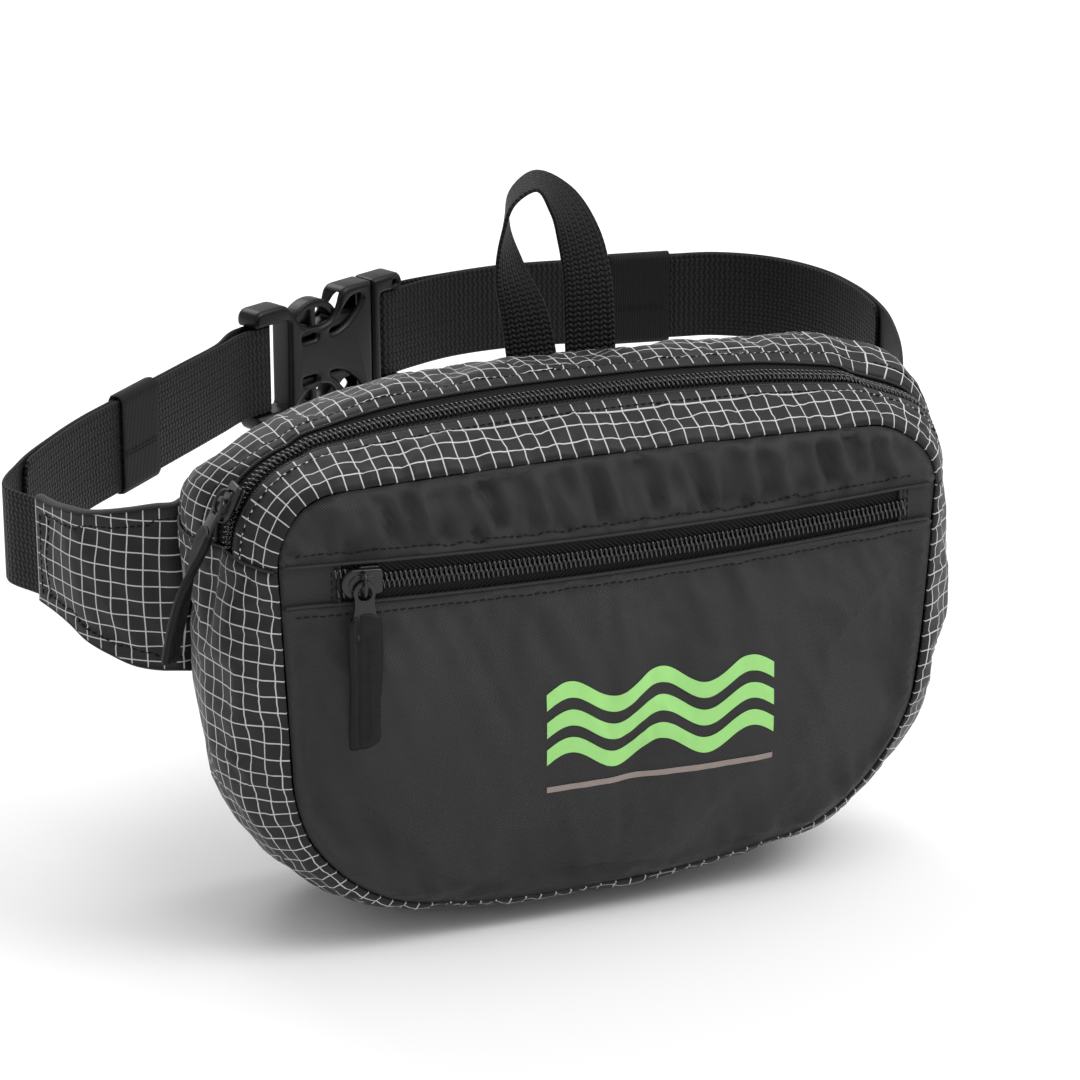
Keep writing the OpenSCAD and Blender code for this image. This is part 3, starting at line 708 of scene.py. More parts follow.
def print_ink(name, low, high):
    """Screen print that follows the twill under it."""
    s = Shade(name, rough=0.55, specular=0.4)
    u, v = s.cloth()
    rib = s.wave(s.math("ADD", u, s.math("MULTIPLY", v, 1.3)), 0.95)
    blot = s.math("MULTIPLY_ADD", s.solid(400), 0.4, s.math("MULTIPLY", rib, 0.6))
    return s.finish(s.grain(blot, low, high), rib, depth=0.1, strength=0.4)


GRID = grid_cloth()
TWILL = panel_cloth()
WEBBING = webbing_cloth()
LOOP_WEB = webbing_cloth("loop_webbing", pitch=2.0, rows=1.7)
ELASTIC = elastic_cloth()
TAPE = tape_cloth()
LINING = lining_cloth()
MESH = mesh_cloth()
HEM = panel_cloth("hem_cloth", 0.007, 0.018)
COIL = plain("coil_nylon", grey(0.004), grey(0.01), 3000, 0.2, specular=0.75)
METAL = plain("black_enamel", grey(0.004), grey(0.009), 900, 0.32, specular=0.45, metallic=0.1, coat=0.1)
PLASTIC = plain("satin_acetal", grey(0.0025, 0.06), grey(0.005, 0.06), 2600, 0.34, specular=0.22, depth=0.04)
THREAD = plain("black_thread", grey(0.002), grey(0.008), 5000, 0.6, specular=0.15)
PULLER = plain("puller_cloth", grey(0.003), grey(0.011), 2200, 0.5, specular=0.18, depth=0.12)
GREEN = print_ink("wave_print", (0.27, 0.6, 0.17), (0.35, 0.7, 0.22))
TAUPE = print_ink("line_print", (0.2, 0.16, 0.145), (0.3, 0.245, 0.225))


# ---- front panel ----
ZIP_SAG = 1.6


def window_edge(x, top):
    """Height of the zip window's upper or lower folded edge. Both sag; the lower one rises to the right."""
    f = np.clip((np.asarray(x, float) - zip_x0) / (zip_x1 - zip_x0), -0.1, 1.1)
    sag = ZIP_SAG * 4 * f * (1 - f)
    return window_top - 4.3 - sag + 0.4 * f if top else window_low - 1.0 - sag + 1.9 * f


def inside(points, loop):
    """Which points lie inside a closed outline."""
    x, z = points[:, 0], points[:, 1]
    hit = np.zeros(len(points), bool)
    for (x0, z0), (x1, z1) in zip(loop, np.roll(loop, -1, 0)):
        cross = (z0 > z) != (z1 > z)
        if cross.any():
            hit ^= cross & (x < (x1 - x0) * (z - z0) / (z1 - z0 + 1e-12) + x0)
    return hit


def distance_to(points, loop):
    """Distance of each point from a closed outline."""
    a, b = np.asarray(loop), np.roll(loop, -1, 0)
    best = np.full(len(points), 1e9)
    for p, q in zip(a, b):
        d = q - p
        f = np.clip(((points - p) @ d) / max(d @ d, 1e-12), 0, 1)
        best = np.minimum(best, np.linalg.norm(points - (p + f[:, None] * d), axis=1))
    return best


def fill(loop, spacing, rows_at=()):
    """Triangles over a closed outline, in its plane, with extra rows of points along some lines."""
    loop = np.asarray(loop, float)
    low, high = loop.min(0), loop.max(0)
    rows = []
    for k, z in enumerate(np.arange(low[1], high[1], spacing * 0.866)):
        x = np.arange(low[0] + (k % 2) * spacing / 2, high[0], spacing)
        rows.append(np.column_stack([x, np.full(len(x), z)]))
    points = np.vstack(rows)
    points = points[inside(points, loop)]
    points = points[distance_to(points, loop) > spacing * 0.6]
    for row in rows_at:
        row = row[inside(row, loop)]
        row = row[distance_to(row, loop) > 0.3]
        away = np.array([np.min(np.abs(row - p).sum(1)) if len(row) else 9 for p in points])
        points = np.vstack([points[away > spacing * 0.45], row])
    every = np.vstack([loop, points])
    n = len(loop)
    edges = [(i, (i + 1) % n) for i in range(n)]
    made = delaunay_2d_cdt([Vector(p) for p in every], edges, [], 1, 1e-5)
    return np.array([tuple(v) for v in made[0]]), [tuple(f) for f in made[2]]


def outline_between(keep, inset=0.0):
    """The stretch of the front seam where keep(x, z) is true, as one open line."""
    spacing = 2.5
    s = np.arange(0, ROUND, spacing / 2)
    row = seam(s)
    line = row[:, :2] - row[:, 2:4] * inset
    good = keep(line[:, 0], line[:, 1])
    start = np.argmax(good & ~np.roll(good, 1))
    line, good = np.roll(line, -start, 0), np.roll(good, -start)
    return resample(line[: np.argmin(good)] if not good.all() else line, spacing)


HEM_STITCH = 4.2


def panel_part(name, loop):
    """One cloth of the front panel: it dips into the seam, and its hem at the zip is raised and sewn down."""
    x = np.arange(-half_w, half_w, 2.2)
    rows_at = []
    for side in (1, -1):
        for off in (3.3, HEM_STITCH, 5.1):
            rows_at.append(np.column_stack([x, window_edge(x, side > 0) + side * off]))
    flat, faces = fill(loop, 2.6, rows_at)
    dip, hem_t = 1.1, 0.45
    y = front_y + dip * (1 - step_up(0, 3.2, distance_to(flat, SEAM_RING)))
    for top in (True, False):
        d = np.abs(flat[:, 1] - window_edge(flat[:, 0], top))
        y = y - hem_t * (1 - step_up(3.3, HEM_STITCH, d)) + hem_t * np.exp(-(((d - HEM_STITCH) / 0.6) ** 2))
    points = settle(np.stack([flat[:, 0], y, flat[:, 1]], 1))
    o = make("cloth_" + name, points, faces, TWILL, slot="panel_fabric", uv=flat, replaces=[name])
    return o, flat


def front_panels():
    """The cloths above and below the front zip, each with its points in the flat."""
    pieces = []
    for name, top in (("front_panel_upper", True), ("front_panel_lower", False)):
        sign = 1 if top else -1
        line = outline_between(lambda a, b, t=top, g=sign: g * (b - window_edge(a, t)) > 0.5)
        ends = sorted((line[0], line[-1]), key=lambda p: p[0])
        across = np.arange(ends[0][0] + 2, ends[1][0] - 1, 2.5)
        edge = np.column_stack([across, window_edge(across, top)])
        if line[0][0] < line[-1][0]:
            edge = edge[::-1]
        pieces.append(panel_part(name, np.vstack([line, edge])))
    return pieces


def upright(x, y, past):
    """An upright line across the zip's window, ending past its two edges."""
    low, high = window_edge(x, False) - past, window_edge(x, True) + past
    return settle([(x, y, z) for z in np.linspace(low, high, 12)])


def front_end_tabs():
    """Cloth at both ends of the zip, under the hems, with a folded edge on the zip's side."""
    under = 2.5
    for name, side, x_edge in (("left", -1, zip_x0 + 0.5), ("right", 1, zip_x1 - 0.5)):

        def keep(a, b, g=side):
            return (g * a > 0) & (b > window_edge(a, False) - under) & (b < window_edge(a, True) + under)

        line = outline_between(keep, inset=0.3)
        z = np.linspace(line[-1][1], line[0][1], 8)
        straight = np.column_stack([np.full(8, x_edge), z])
        loop = np.vstack([line, straight])
        flat, faces = fill(resample(np.vstack([loop, loop[:1]]), 2.0)[:-1], 2.2)
        inward = -side * (flat[:, 0] - x_edge)
        y = front_y + 0.75 - 0.5 * (1 - step_up(2.4, 3.2, np.abs(inward)))
        y = y + 0.6 * (1 - step_up(0, 3, distance_to(flat, SEAM_RING)))
        points = settle(np.stack([flat[:, 0], y, flat[:, 1]], 1))
        o = make("cloth_end_tab_" + name, points, faces, TWILL, slot="panel_fabric", uv=flat,
                 replaces=["front_zip_end_tab_" + name])
        thicken(o, LINING_T)
        path = upright(x_edge, front_y + 0.15, 1)
        tube("fold_end_tab_" + name, path, 0.75, TWILL, up=(0, 1, 0), flat=0.8, slot="panel_fabric")
        line = upright(x_edge + side * 2.9, front_y - 1, -0.5)
        sewn("stitch_end_tab_" + name, tree_of(o), line, THREAD, slot="panel_fabric")


def seam_distance(flat):
    """Distance of each point of a front cloth from the nearest seam or zip."""
    d = distance_to(flat, SEAM_RING)
    hem = 3.0
    for top in (True, False):
        d = np.minimum(d, np.abs(flat[:, 1] - window_edge(flat[:, 0], top)) - hem)
    return np.maximum(d, 0)


def puff_panel(o, flat, seed, amount):
    """Fullness of a front cloth before it is left to settle."""
    d, (x, z) = seam_distance(flat), flat.T
    points = points_of(o)
    broad = ripple(x / 40, z / 34, seed) * 1.4 * step_up(2, 26, d)
    points[:, 1] -= amount * step_up(0, 40, d) + broad
    set_points(o, points)


def wrinkle_panel(o, flat, seed, depth):
    """Upright drag folds and gathers that run into the seams."""
    d, (x, z) = seam_distance(flat), flat.T
    points = points_of(o)
    drag = ripple((x + 0.35 * z) / 6.4, z / 60, seed) * step_up(0.5, 6, d) * np.exp(-d / 26)
    gather = ripple(x / 4.2, z / 22, seed + 1) * step_up(0.2, 3, d) * np.exp(-d / 8)
    points[:, 1] -= depth * (1.1 * drag + 0.7 * gather)
    set_points(o, points)


# ---- gussets ----
FRONT_START, STRIP_STITCH = 0.9, 4.6


def cloth_length(s, depth):
    """Length of cloth along the wall at a depth, for each s."""
    return run_of(wall(s, depth))


def gusset(node, s0, s1, d0, d1, seed, pucker, hem_at=None, columns=2.0, rows=1.9, shift=0.0):
    """One strip of the bag's wall, with gathers at its sewn edges and a folded hem at hem_at."""
    s = np.linspace(s0, s1, max(3, round((s1 - s0) / columns)) + 1)
    d = np.linspace(d0, d1, max(3, round((d1 - d0) / rows)) + 1)
    middle = d0 + 0.45 * (d1 - d0)
    u = cloth_length(s, middle)
    u = u - u[len(u) // 2]
    base = wall(s[:, None], d[None, :])
    steps = np.linalg.norm(np.diff(base, axis=1), axis=2)
    v = np.concatenate([np.zeros((len(s), 1)), np.cumsum(steps, 1)], 1)
    near = np.minimum(d - d0, d1 - d)[None, :]
    gather = ripple(u[:, None] / 6.5, d[None, :] / 22, seed) * step_up(0, 3, near) * np.exp(-near / 7)
    broad = ripple(u[:, None] / 30, d[None, :] / 26, seed + 1) * step_up(0, 9, near)
    crease = ripple(u[:, None] / 13, (d[None, :] + 0.25 * u[:, None]) / 13, seed + 2) * step_up(0, 6, near)
    lift = pucker * gather + 0.6 * broad + 0.35 * crease
    if hem_at is not None:
        from_hem = np.abs(d - hem_at)[None, :]
        lift = lift * step_up(3, 10, from_hem)
        groove = 0.45 * np.exp(-(((from_hem - STRIP_STITCH) / 0.7) ** 2))
        lift = lift + 0.55 * (1 - step_up(4.0, 5.0, from_hem)) - groove
    points = settle(wall(s[:, None], d[None, :], lift))
    uv = np.stack(np.broadcast_arrays(u[:, None], v - shift), -1)
    o = make("cloth_" + node, points, grid_faces(len(s), len(d)), GRID, slot="grid_fabric", uv=uv,
             replaces=[node])
    edge = np.zeros((len(s), len(d)), bool)
    edge[[0, -1]] = True
    edge[:, [0, -1]] = True
    if hem_at is not None:
        edge |= (np.abs(d - hem_at) < 5.2)[None, :]
    return o, edge.ravel()


def gussets():
    """The three strips of the wall, each with its sewn edge marked for the settling."""
    front = gusset("zip_gusset_front", -FOOT, FOOT, FRONT_START, STRIP_END, 11, 0.6, STRIP_END, shift=2.5)
    back = gusset("zip_gusset_back", -FOOT, FOOT, STRIP_START, BACK_END, 23, 0.7, STRIP_START, shift=2.6)
    rest = gusset("bottom_gusset", FOOT + 0.3, ROUND - FOOT - 0.3, FRONT_START, BACK_END, 37, 0.8,
                  columns=2.1, rows=2.4)
    return [front, back, rest]


def loosen(o, pinned, pressure, slack):
    """Makes a piece cloth that is pinned at its edge and cut a little too big for its frame."""
    group = o.vertex_groups.new(name="pinned")
    group.add([int(i) for i in np.flatnonzero(pinned)], 1.0, "REPLACE")
    cloth = o.modifiers.new("cloth", "CLOTH")
    cloth.collision_settings.use_collision = False
    settings = cloth.settings
    settings.quality = 4
    settings.mass = 0.25
    settings.tension_stiffness = settings.compression_stiffness = 12
    settings.shear_stiffness = 4
    settings.bending_stiffness = 0.06
    settings.vertex_group_mass = "pinned"
    settings.shrink_min = -slack
    settings.use_pressure = True
    settings.uniform_pressure_force = pressure
    settings.effector_weights.gravity = 0


LAST_FRAME = 22


def billow(jobs):
    """Leaves the cloths to settle under the bag's filling, each by no more than its cap."""
    rest = []
    for o, pinned, pressure, slack, _ in jobs:
        loosen(o, pinned, pressure, slack)
        rest.append(points_of(o))
    for number in range(1, LAST_FRAME + 1):
        bpy.context.scene.frame_set(number)
    graph = bpy.context.evaluated_depsgraph_get()
    results = [points_of(job[0].evaluated_get(graph)) for job in jobs]
    bpy.context.scene.frame_set(1)
    for (o, _, _, _, cap), before, after in zip(jobs, rest, results):
        o.modifiers.remove(o.modifiers["cloth"])
        move = after - before
        size = np.linalg.norm(move, axis=1, keepdims=True)
        set_points(o, before + move * (cap * np.tanh(size / cap) / np.maximum(size, 1e-6)))


# ---- zips ----
def coil_pair(name, middle, across, out, replaces, open_to=0.0):
    """Two interlocked coils along a line of points: across points to one side, out away from the bag.
    They stand open over the first stretch, up to the slider."""
    middle, across, out = (np.asarray(a, float) for a in (middle, across, out))
    run = run_of(middle)
    half_wide, high, wire, apart, pitch, gap = 1.8, 0.95, 0.42, 1.25, 1.8, 2.3
    for k, side in enumerate((1, -1)):
        count = int(run[-1] / pitch)
        t = np.arange(0, count * 10 + 1) / 10
        s = (t + 0.5 * k) * pitch
        s = s[s < run[-1]]
        t = t[: len(s)]
        at = [np.stack([np.interp(s, run, a[:, c]) for c in range(3)], 1) for a in (middle, across, out)]
        phase = 2 * math.pi * t
        gape = gap * (1 - step_up(open_to * 0.4, open_to + 0.01, s))
        sway = side * (apart + gape) + half_wide * np.cos(phase)
        line = at[0] + at[1] * sway[:, None] + at[2] * (high * np.sin(phase) * 0.9 + high)[:, None]
        tube(f"{name}_{'ab'[k]}", line, wire, COIL, sides=5, slot="zip_coil", replaces=replaces[k : k + 1])


def front_zip():
    """The front zip's tape and coils, sagging with the window's edges."""
    x = np.linspace(zip_x0 - 1.5, zip_x1 + 1.5, 110)
    low, high = window_edge(x, False) - 3, window_edge(x, True) + 3
    z = low[:, None] + (high - low)[:, None] * np.linspace(0, 1, 9)[None, :]
    tape_y = front_y + 0.85
    points = settle(np.stack([np.broadcast_to(x[:, None], z.shape), np.full(z.shape, tape_y), z], -1))
    uv = np.stack([np.broadcast_to(x[:, None], z.shape), z - zip_z], -1)
    tape = make("front_zip_tape", points, grid_faces(len(x), 9), TAPE, slot="zip_tape", uv=uv,
                replaces=["front_zip_tape_upper", "front_zip_tape_lower"])
    thicken(tape, TAPE_T)
    sag = ZIP_SAG * np.clip(1 - ((x - 5.5) / 108) ** 2, 0, 1)
    line = settle(np.stack([x, np.full(len(x), tape_y - 0.55), zip_z - sag], 1))
    coil_pair("front_zip_coil", line, np.broadcast_to([0, 0, 1.0], line.shape),
              np.broadcast_to([0, -1.0, 0], line.shape),
              ["front_zip_coil_upper", "front_zip_coil_lower"], open_to=9.0)


def wall_line(s, depth, lift=0.0):
    """A line on the settled wall with its across and outward directions."""
    middle = settle(wall(s, depth, lift))
    across = unit(settle(wall(s, depth + 1)) - settle(wall(s, depth - 1)))
    along = unit(np.gradient(middle, axis=0))
    return middle, across, unit(np.cross(along, across))


def top_zip():
    """The top zip's tape and coils, a little below the wall."""
    sunk = -0.75
    s = np.linspace(-FOOT + 0.5, FOOT - 0.5, 240)
    d = np.linspace(STRIP_END - 3, STRIP_START + 3, 9)
    points = settle(wall(s[:, None], d[None, :], sunk))
    u = cloth_length(s, COIL_MID)
    uv = np.stack(np.broadcast_arrays(u[:, None], d[None, :] - COIL_MID), -1)
    tape = make("top_zip_tape", points, grid_faces(len(s), len(d)), TAPE, slot="zip_tape", uv=uv,
                replaces=["top_zip_tape_front", "top_zip_tape_back"])
    thicken(tape, TAPE_T)
    middle, across, out = wall_line(s, COIL_MID, sunk)
    coil_pair("top_zip_coil", middle, across, out, ["top_zip_coil_front", "top_zip_coil_back"])


def folds_and_stitches(panels, strips):
    """Folded edges beside both zips and the topstitching along them."""
    tree = tree_of(*panels)
    x = np.linspace(-half_w + 2.2, half_w - 2.4, 120)
    for label, top in (("upper", True), ("lower", False)):
        edge = settle(np.stack([x, np.full(len(x), front_y - 0.2), window_edge(x, top)], 1))
        tube("fold_window_" + label, edge, 0.72, TWILL, up=(0, 1, 0), slot="panel_fabric")
        z = window_edge(x, top) + (HEM_STITCH if top else -HEM_STITCH)
        line = settle(np.stack([x[2:-2], np.full(len(x) - 4, front_y - 2), z[2:-2]], 1))
        sewn("stitch_window_" + label, tree, line, THREAD, radius=0.3, slot="panel_fabric")
    s = np.linspace(-FOOT + 1, FOOT - 1, 260)
    for o, label, depth, sign in zip(strips, ("front", "back"), (STRIP_END, STRIP_START), (-1, 1)):
        edge = settle(wall(s, depth, 0.1))
        tube("fold_top_" + label, edge, 0.65, HEM, slot="grid_fabric")
        line = settle(wall(s, depth + sign * STRIP_STITCH, 1.0))
        sewn("stitch_top_" + label, tree_of(o), line, THREAD, radius=0.3, slot="grid_fabric")


def seam_lines():
    """Bindings inside the two seams, and the short seams where the zip gusset meets the bottom gusset."""
    s = np.linspace(0, ROUND, 300)[:-1]
    row = seam(s)
    for name, depth, out in (("front_seam_binding", 2.2, -2.2), ("back_seam_binding", 77.0, back_out - 3.6)):
        path = settle(np.stack([row[:, 0] + row[:, 2] * out, np.full(len(s), front_y + depth),
                                row[:, 1] + row[:, 3] * out], 1))
        tube("tube_" + name, path, 1.6, LINING, closed=True, up=(0, 1, 0), flat=0.6, slot="lining",
             replaces=[name])
    for label, at in (("right", FOOT), ("left", ROUND - FOOT)):
        d = np.linspace(1.5, BACK_END - 1, 60)
        path = settle(wall(np.full(len(d), at), d, 0.15))
        tube("fold_gusset_joint_" + label, path, 0.6, HEM, slot="grid_fabric")


# Where the back panel is sewn through, either side of its middle
CHANNEL_X = 42


def padded_back():
    """The padded back panel in spacer mesh, sewn through along two upright channels."""
    row = seam(np.arange(0, ROUND, 3.0))
    loop = row[:, :2] + row[:, 2:4] * (back_out - 0.2)
    flat, faces = fill(loop, 3.4)
    d = distance_to(flat, loop)
    channel = np.minimum(np.abs(flat[:, 0] - CHANNEL_X), np.abs(flat[:, 0] + CHANNEL_X))
    pad = 4.2 * step_up(0, 16, d) * (0.45 + 0.55 * step_up(0, 8, channel)) - 1.4 * (1 - step_up(0, 3, d))
    y = -1.2 + pad + 0.35 * ripple(flat[:, 0] / 24, flat[:, 1] / 24, 5) * step_up(3, 14, d)
    points = settle(np.stack([flat[:, 0], y, flat[:, 1]], 1))
    back = make("padded_back_panel", points, [f[::-1] for f in faces], MESH, slot="lining", uv=flat,
                replaces=["back_panel"])
    thicken(back, PAD_T)
    tree = tree_of(back)
    z = np.linspace(-78, 78, 60)
    for label, x in (("left", -CHANNEL_X), ("right", CHANNEL_X)):
        line = np.stack([np.full(60, float(x)), np.full(60, 8.0), z], 1)
        sewn("stitch_back_" + label, tree, line, THREAD, radius=0.35, slot="lining")


def pocket_lining():
    """The front pocket's inner wall."""
    row = seam(np.arange(0, ROUND, 3.0))
    inner = row[:, :2] - row[:, 2:4] * 3.2
    flat, faces = fill(inner, 7)
    points = settle(np.stack([flat[:, 0], np.full(len(flat), front_y + 4.2), flat[:, 1]], 1))
    lining = make("pocket_lining", points, faces, LINING, slot="lining", uv=flat,
                  replaces=["front_pocket_lining"])
    thicken(lining, LINING_T)


# ---- sliders ----
slider_low, slider_high = corners("front_zip_slider")
SLIDER_X = (slider_low[0] + slider_high[0]) / 2
PIVOT_OUT = 5.2


def front_slider_place():
    """Place of the front slider, on the coils at its CAD slider's middle."""
    return Matrix.Translation(Vector((SLIDER_X, coil_low[1] - 0.15, zip_z)) * MM)


# The top slider sits on the round of the left corner: its angle there, and how far its tab leans back
TOP_ANGLE, TOP_LEAN = math.radians(27), math.radians(28)
TRACK = top_r + float(through(STATIONS, CORNER, COIL_MID)) + 0.9


def top_slider_place():
    """Place of the top slider, on the corner's round and along the zip."""
    centre = Matrix.Translation(Vector((-corner_x, front_y + COIL_MID, corner_z)) * MM)
    turn = Matrix.Rotation(TOP_ANGLE, 4, "Y")
    out = Matrix.Translation(Vector((-TRACK - 1, 0, 0)) * MM)
    along = Matrix.Rotation(math.radians(-90), 4, "X") @ Matrix.Rotation(math.radians(-90), 4, "Z")
    return centre @ turn @ out @ along


def pivot_places():
    """Places of the two tabs' cross bars, each with its tab hanging down its own -Z."""
    radius = TRACK + PIVOT_OUT
    front = Vector((SLIDER_X, coil_low[1] - 4.2, zip_z))
    top = Vector((-corner_x - radius * math.cos(TOP_ANGLE), front_y + COIL_MID,
                  corner_z + radius * math.sin(TOP_ANGLE)))
    lean = Matrix.Rotation(TOP_LEAN, 4, "Y") @ Matrix.Rotation(math.radians(90), 4, "Z")
    return Matrix.Translation(front * MM), Matrix.Translation(top * MM) @ lean


def put(points, place):
    """Local points in millimetres, moved to their place."""
    m = np.array(place)
    return np.asarray(points, float) @ m[:3, :3].T + m[:3, 3] / MM


def slider(prefix, place, body, across, replaces):
    """Cast slider: a nosed top plate with lips, a waisted crown and the arch that the tab hangs on."""
    nose = arc(-2.0, 0, 5.5, 105, 255, 14)
    outline = nose + [(2.5, -4.9), (7.5, -4.5), (7.5, 4.5), (2.5, 4.9)]
    shift = Matrix.Translation(Vector((0, -1.2, 0)) * MM)
    flat_plate(prefix + "_plate", [rounded(outline, 1.2)], 2.2, 0.75, place @ shift, METAL,
               body=body, slot="slider_metal", replaces=replaces)
    dome = [(x * 0.62 - 0.4, z * 0.6) for x, z in outline]
    shift = Matrix.Translation(Vector((0, -2.35, 0)) * MM)
    flat_plate(prefix + "_crown", [rounded(dome, 1.2)], 1.1, 0.5, place @ shift, METAL, body=body,
               slot="slider_metal")
    for label, side in (("l", -1), ("r", 1)):
        lip = put(resample([(-0.5, 0.35, side * 4.9), (6.8, 0.35, side * 4.5)], 1.0), place)
        tube(f"{prefix}_lip_{label}", lip, 0.62, METAL, body=body, slot="slider_metal")
    a = np.radians(np.linspace(0, 180, 20))
    reach, rise_out = 4.3, 3.85
    bow = np.stack([reach * np.cos(a), -2.3 - rise_out * np.abs(np.sin(a)) ** 0.55, np.zeros(20)], 1)
    if across:
        bow = bow[:, [2, 1, 0]]
    tube(prefix + "_arch", put(bow, place), 0.6, METAL, body=body, slot="slider_metal")


def pull_tab(prefix, place, body, node):
    """Metal tab: a ring for the arch, and a slot below for the puller."""
    ring = arc(0, -2.6, 4.1, 205, -25, 22)
    outline = ring + [(3.6, -7.5), (4.6, -13.5), (4.5, -20), (-4.5, -20), (-4.6, -13.5), (-3.6, -7.5)]
    hole = arc(0, -3.0, 2.6, 0, 345, 24)
    slot_hole = rounded([(-3.2, -18), (3.2, -18), (3.2, -15), (-3.2, -15)], 1.0)
    flat_plate(prefix + "_tab", [rounded(outline, 0.7, 3), hole, slot_hole], 1.1, 0.32, place, METAL,
               body=body, slot="slider_metal", replaces=[node])


def puller_row(f, x, top, bottom, droop, seed, twist):
    """One row of the puller's section at share f of its length: a rolled fold, a groove and a flap."""
    wide = 6.0 - 0.5 * (1 - step_up(0, 0.08, f)) - 0.25 * math.sin(9 * f + seed)
    height = bottom * f + top * (1 - f) + 2.2 * (1 - x**2) * (1 - step_up(0, 0.12, f))
    wrinkle = np.array([noise.noise(Vector((q * 1.3, f * 9, seed))) for q in x]) * 0.35
    roll = 0.75 * np.exp(-(((x + 0.78) / 0.2) ** 2))
    groove = 0.6 * np.exp(-(((x + 0.42) / 0.09) ** 2))
    flap = 0.4 * step_up(0.02, 0.1, x) * step_up(0.12, 0.16, f) * (1 - step_up(0.93, 0.97, f))
    round_off = np.sqrt(np.clip(1 - np.abs(x) ** 6, 0, 1))
    tuck = 1 - 0.25 * (1 - step_up(0, 0.05, f)) - 0.3 * step_up(0.97, 1, f)
    front = -(1.15 + roll - groove + flap + wrinkle) * round_off * tuck
    back = (1.25 + 0.5 * roll + wrinkle * 0.6) * round_off * tuck
    across = np.concatenate([x, x[::-1]]) * wide
    deep = np.concatenate([front, back[::-1]])
    turn = math.radians(twist) * step_up(0.04, 0.6, f)
    return np.stack([across * math.cos(turn) - deep * math.sin(turn),
                     across * math.sin(turn) + deep * math.cos(turn) + droop * f**1.6,
                     np.concatenate([height, height[::-1]])], 1)


def pull(prefix, place, body, replaces, droop, seed, twist=0.0):
    """Metal tab, and the folded cloth puller through its lower slot."""
    pull_tab(prefix, place, body, replaces[0])
    rows, cols, top, bottom = 46, 28, -12.6, -60.8
    x = np.linspace(-1, 1, cols)
    shares = np.linspace(0, 1, rows)
    points = np.array([puller_row(f, x, top, bottom, droop, seed, twist) for f in shares])
    run = shares * (top - bottom)
    uv = np.stack(np.broadcast_arrays(run[:, None], points[..., 0]), -1)
    m = 2 * cols
    faces = [f[::-1] for f in grid_faces(rows, m, close_v=True)]
    faces += [tuple(range(m - 1, -1, -1)), tuple(range((rows - 1) * m, rows * m))]
    cloth = make(prefix + "_puller", put(points.reshape(-1, 3), place), faces, PULLER, body=body,
                 slot="puller", uv=uv, replaces=replaces[1:])
    if not twist:
        at, normal = drop(tree_of(cloth), put(resample([(1.2, -3, -20.0), (1.2, -3, -57.0)], 2), place))
        stitches(prefix + "_stitch", at, normal, THREAD, body=body, slot="puller", radius=0.2)


# ---- wings, belt and keepers ----
# Plans as rows: x, y, then the wing's lowest and highest z, or 1 where the webbing is doubled
WING = [[-134, -2, -13, 52], [-137, -3, -12, 51], [-144, 0, -12, 50], [-152, 5, -11, 48], [-159, 11, -8, 46],
        [-165, 19, -5, 44], [-169, 28, -1, 43], [-172, 37, 1, 42], [-175, 47, 2, 42]]
LEFT = [[-172.3, 38, 0], [-175.3, 48, 0], [-182, 66, 1], [-171, 90, 1], [-152, 115, 1], [-132, 137, 1],
        [-123, 145.3, 1], [-104, 163, 1], [-85, 180.7, 1], [-76, 189, 1], [-60, 204, 1]]
RIGHT = [[62, 268, 1], [90, 271, 1], [108.2, 269.3, 1], [124, 266.7, 1], [150, 262.6, 1], [171, 259.2, 1],
         [178, 258, 1], [202, 243, 1], [216, 218, 1], [220, 188, 1], [217, 156, 1], [207, 122, 1],
         [192, 86, 1], [182, 66, 1], [175.3, 48, 0], [172.3, 38, 0]]
# The row of each plan where the inner layer ends
LEFT_TAIL, RIGHT_TAIL = 3, 10
HEM_W = 5.6
# The buckle's place and turn in plan, its bars, and the webbing's distance from a bar's middle
BUCKLE_AT, BUCKLE_TURN = (-4.0, 240.0), math.radians(26)
BAR_X, WRAP, BEFORE_BAR = 35.0, 3.0, 46


def wing_stitches(label, plan, out, z, run, tree):
    """Topstitching along a wing's three free edges."""
    kind = {"slot": "grid_fabric", "radius": 0.32}
    for part, row, shift in (("top", -1, -HEM_W), ("bottom", 0, HEM_W)):
        line = np.column_stack([plan + out * 4, z[:, row] + shift])[2:-3]
        sewn(f"stitch_wing_{label}_{part}", tree, line, THREAD, **kind)
    for k, back in enumerate((4.0, 8.5)):
        i = int(np.argmin(np.abs(run[-1] - back - run)))
        spot = plan[i] + out[i] * 3
        line = [(spot[0], spot[1], height) for height in np.linspace(z[i, 0] + 3, z[i, -1] - 3, 20)]
        sewn(f"stitch_wing_{label}_tip_{k}", tree, line, THREAD, **kind)


def wing_hems(label, plan, z):
    """Rolled hems on a wing's upper and lower edges and its tip."""
    tangent = unit(np.gradient(plan, axis=0))
    for part, height in (("top", z[:, -1]), ("bottom", z[:, 0])):
        path = np.column_stack([plan, height])
        tube(f"hem_wing_{label}_{part}", path, 2.1, HEM, up=(0, 0, 1), flat=0.55, slot="grid_fabric")
    tip = np.column_stack([np.repeat(plan[-1:], 12, 0), np.linspace(z[-1, 0], z[-1, -1], 12)])
    tube(f"hem_wing_{label}_tip", tip, 1.9, HEM, up=tuple(np.append(tangent[-1], 0)), flat=0.6,
         slot="grid_fabric")


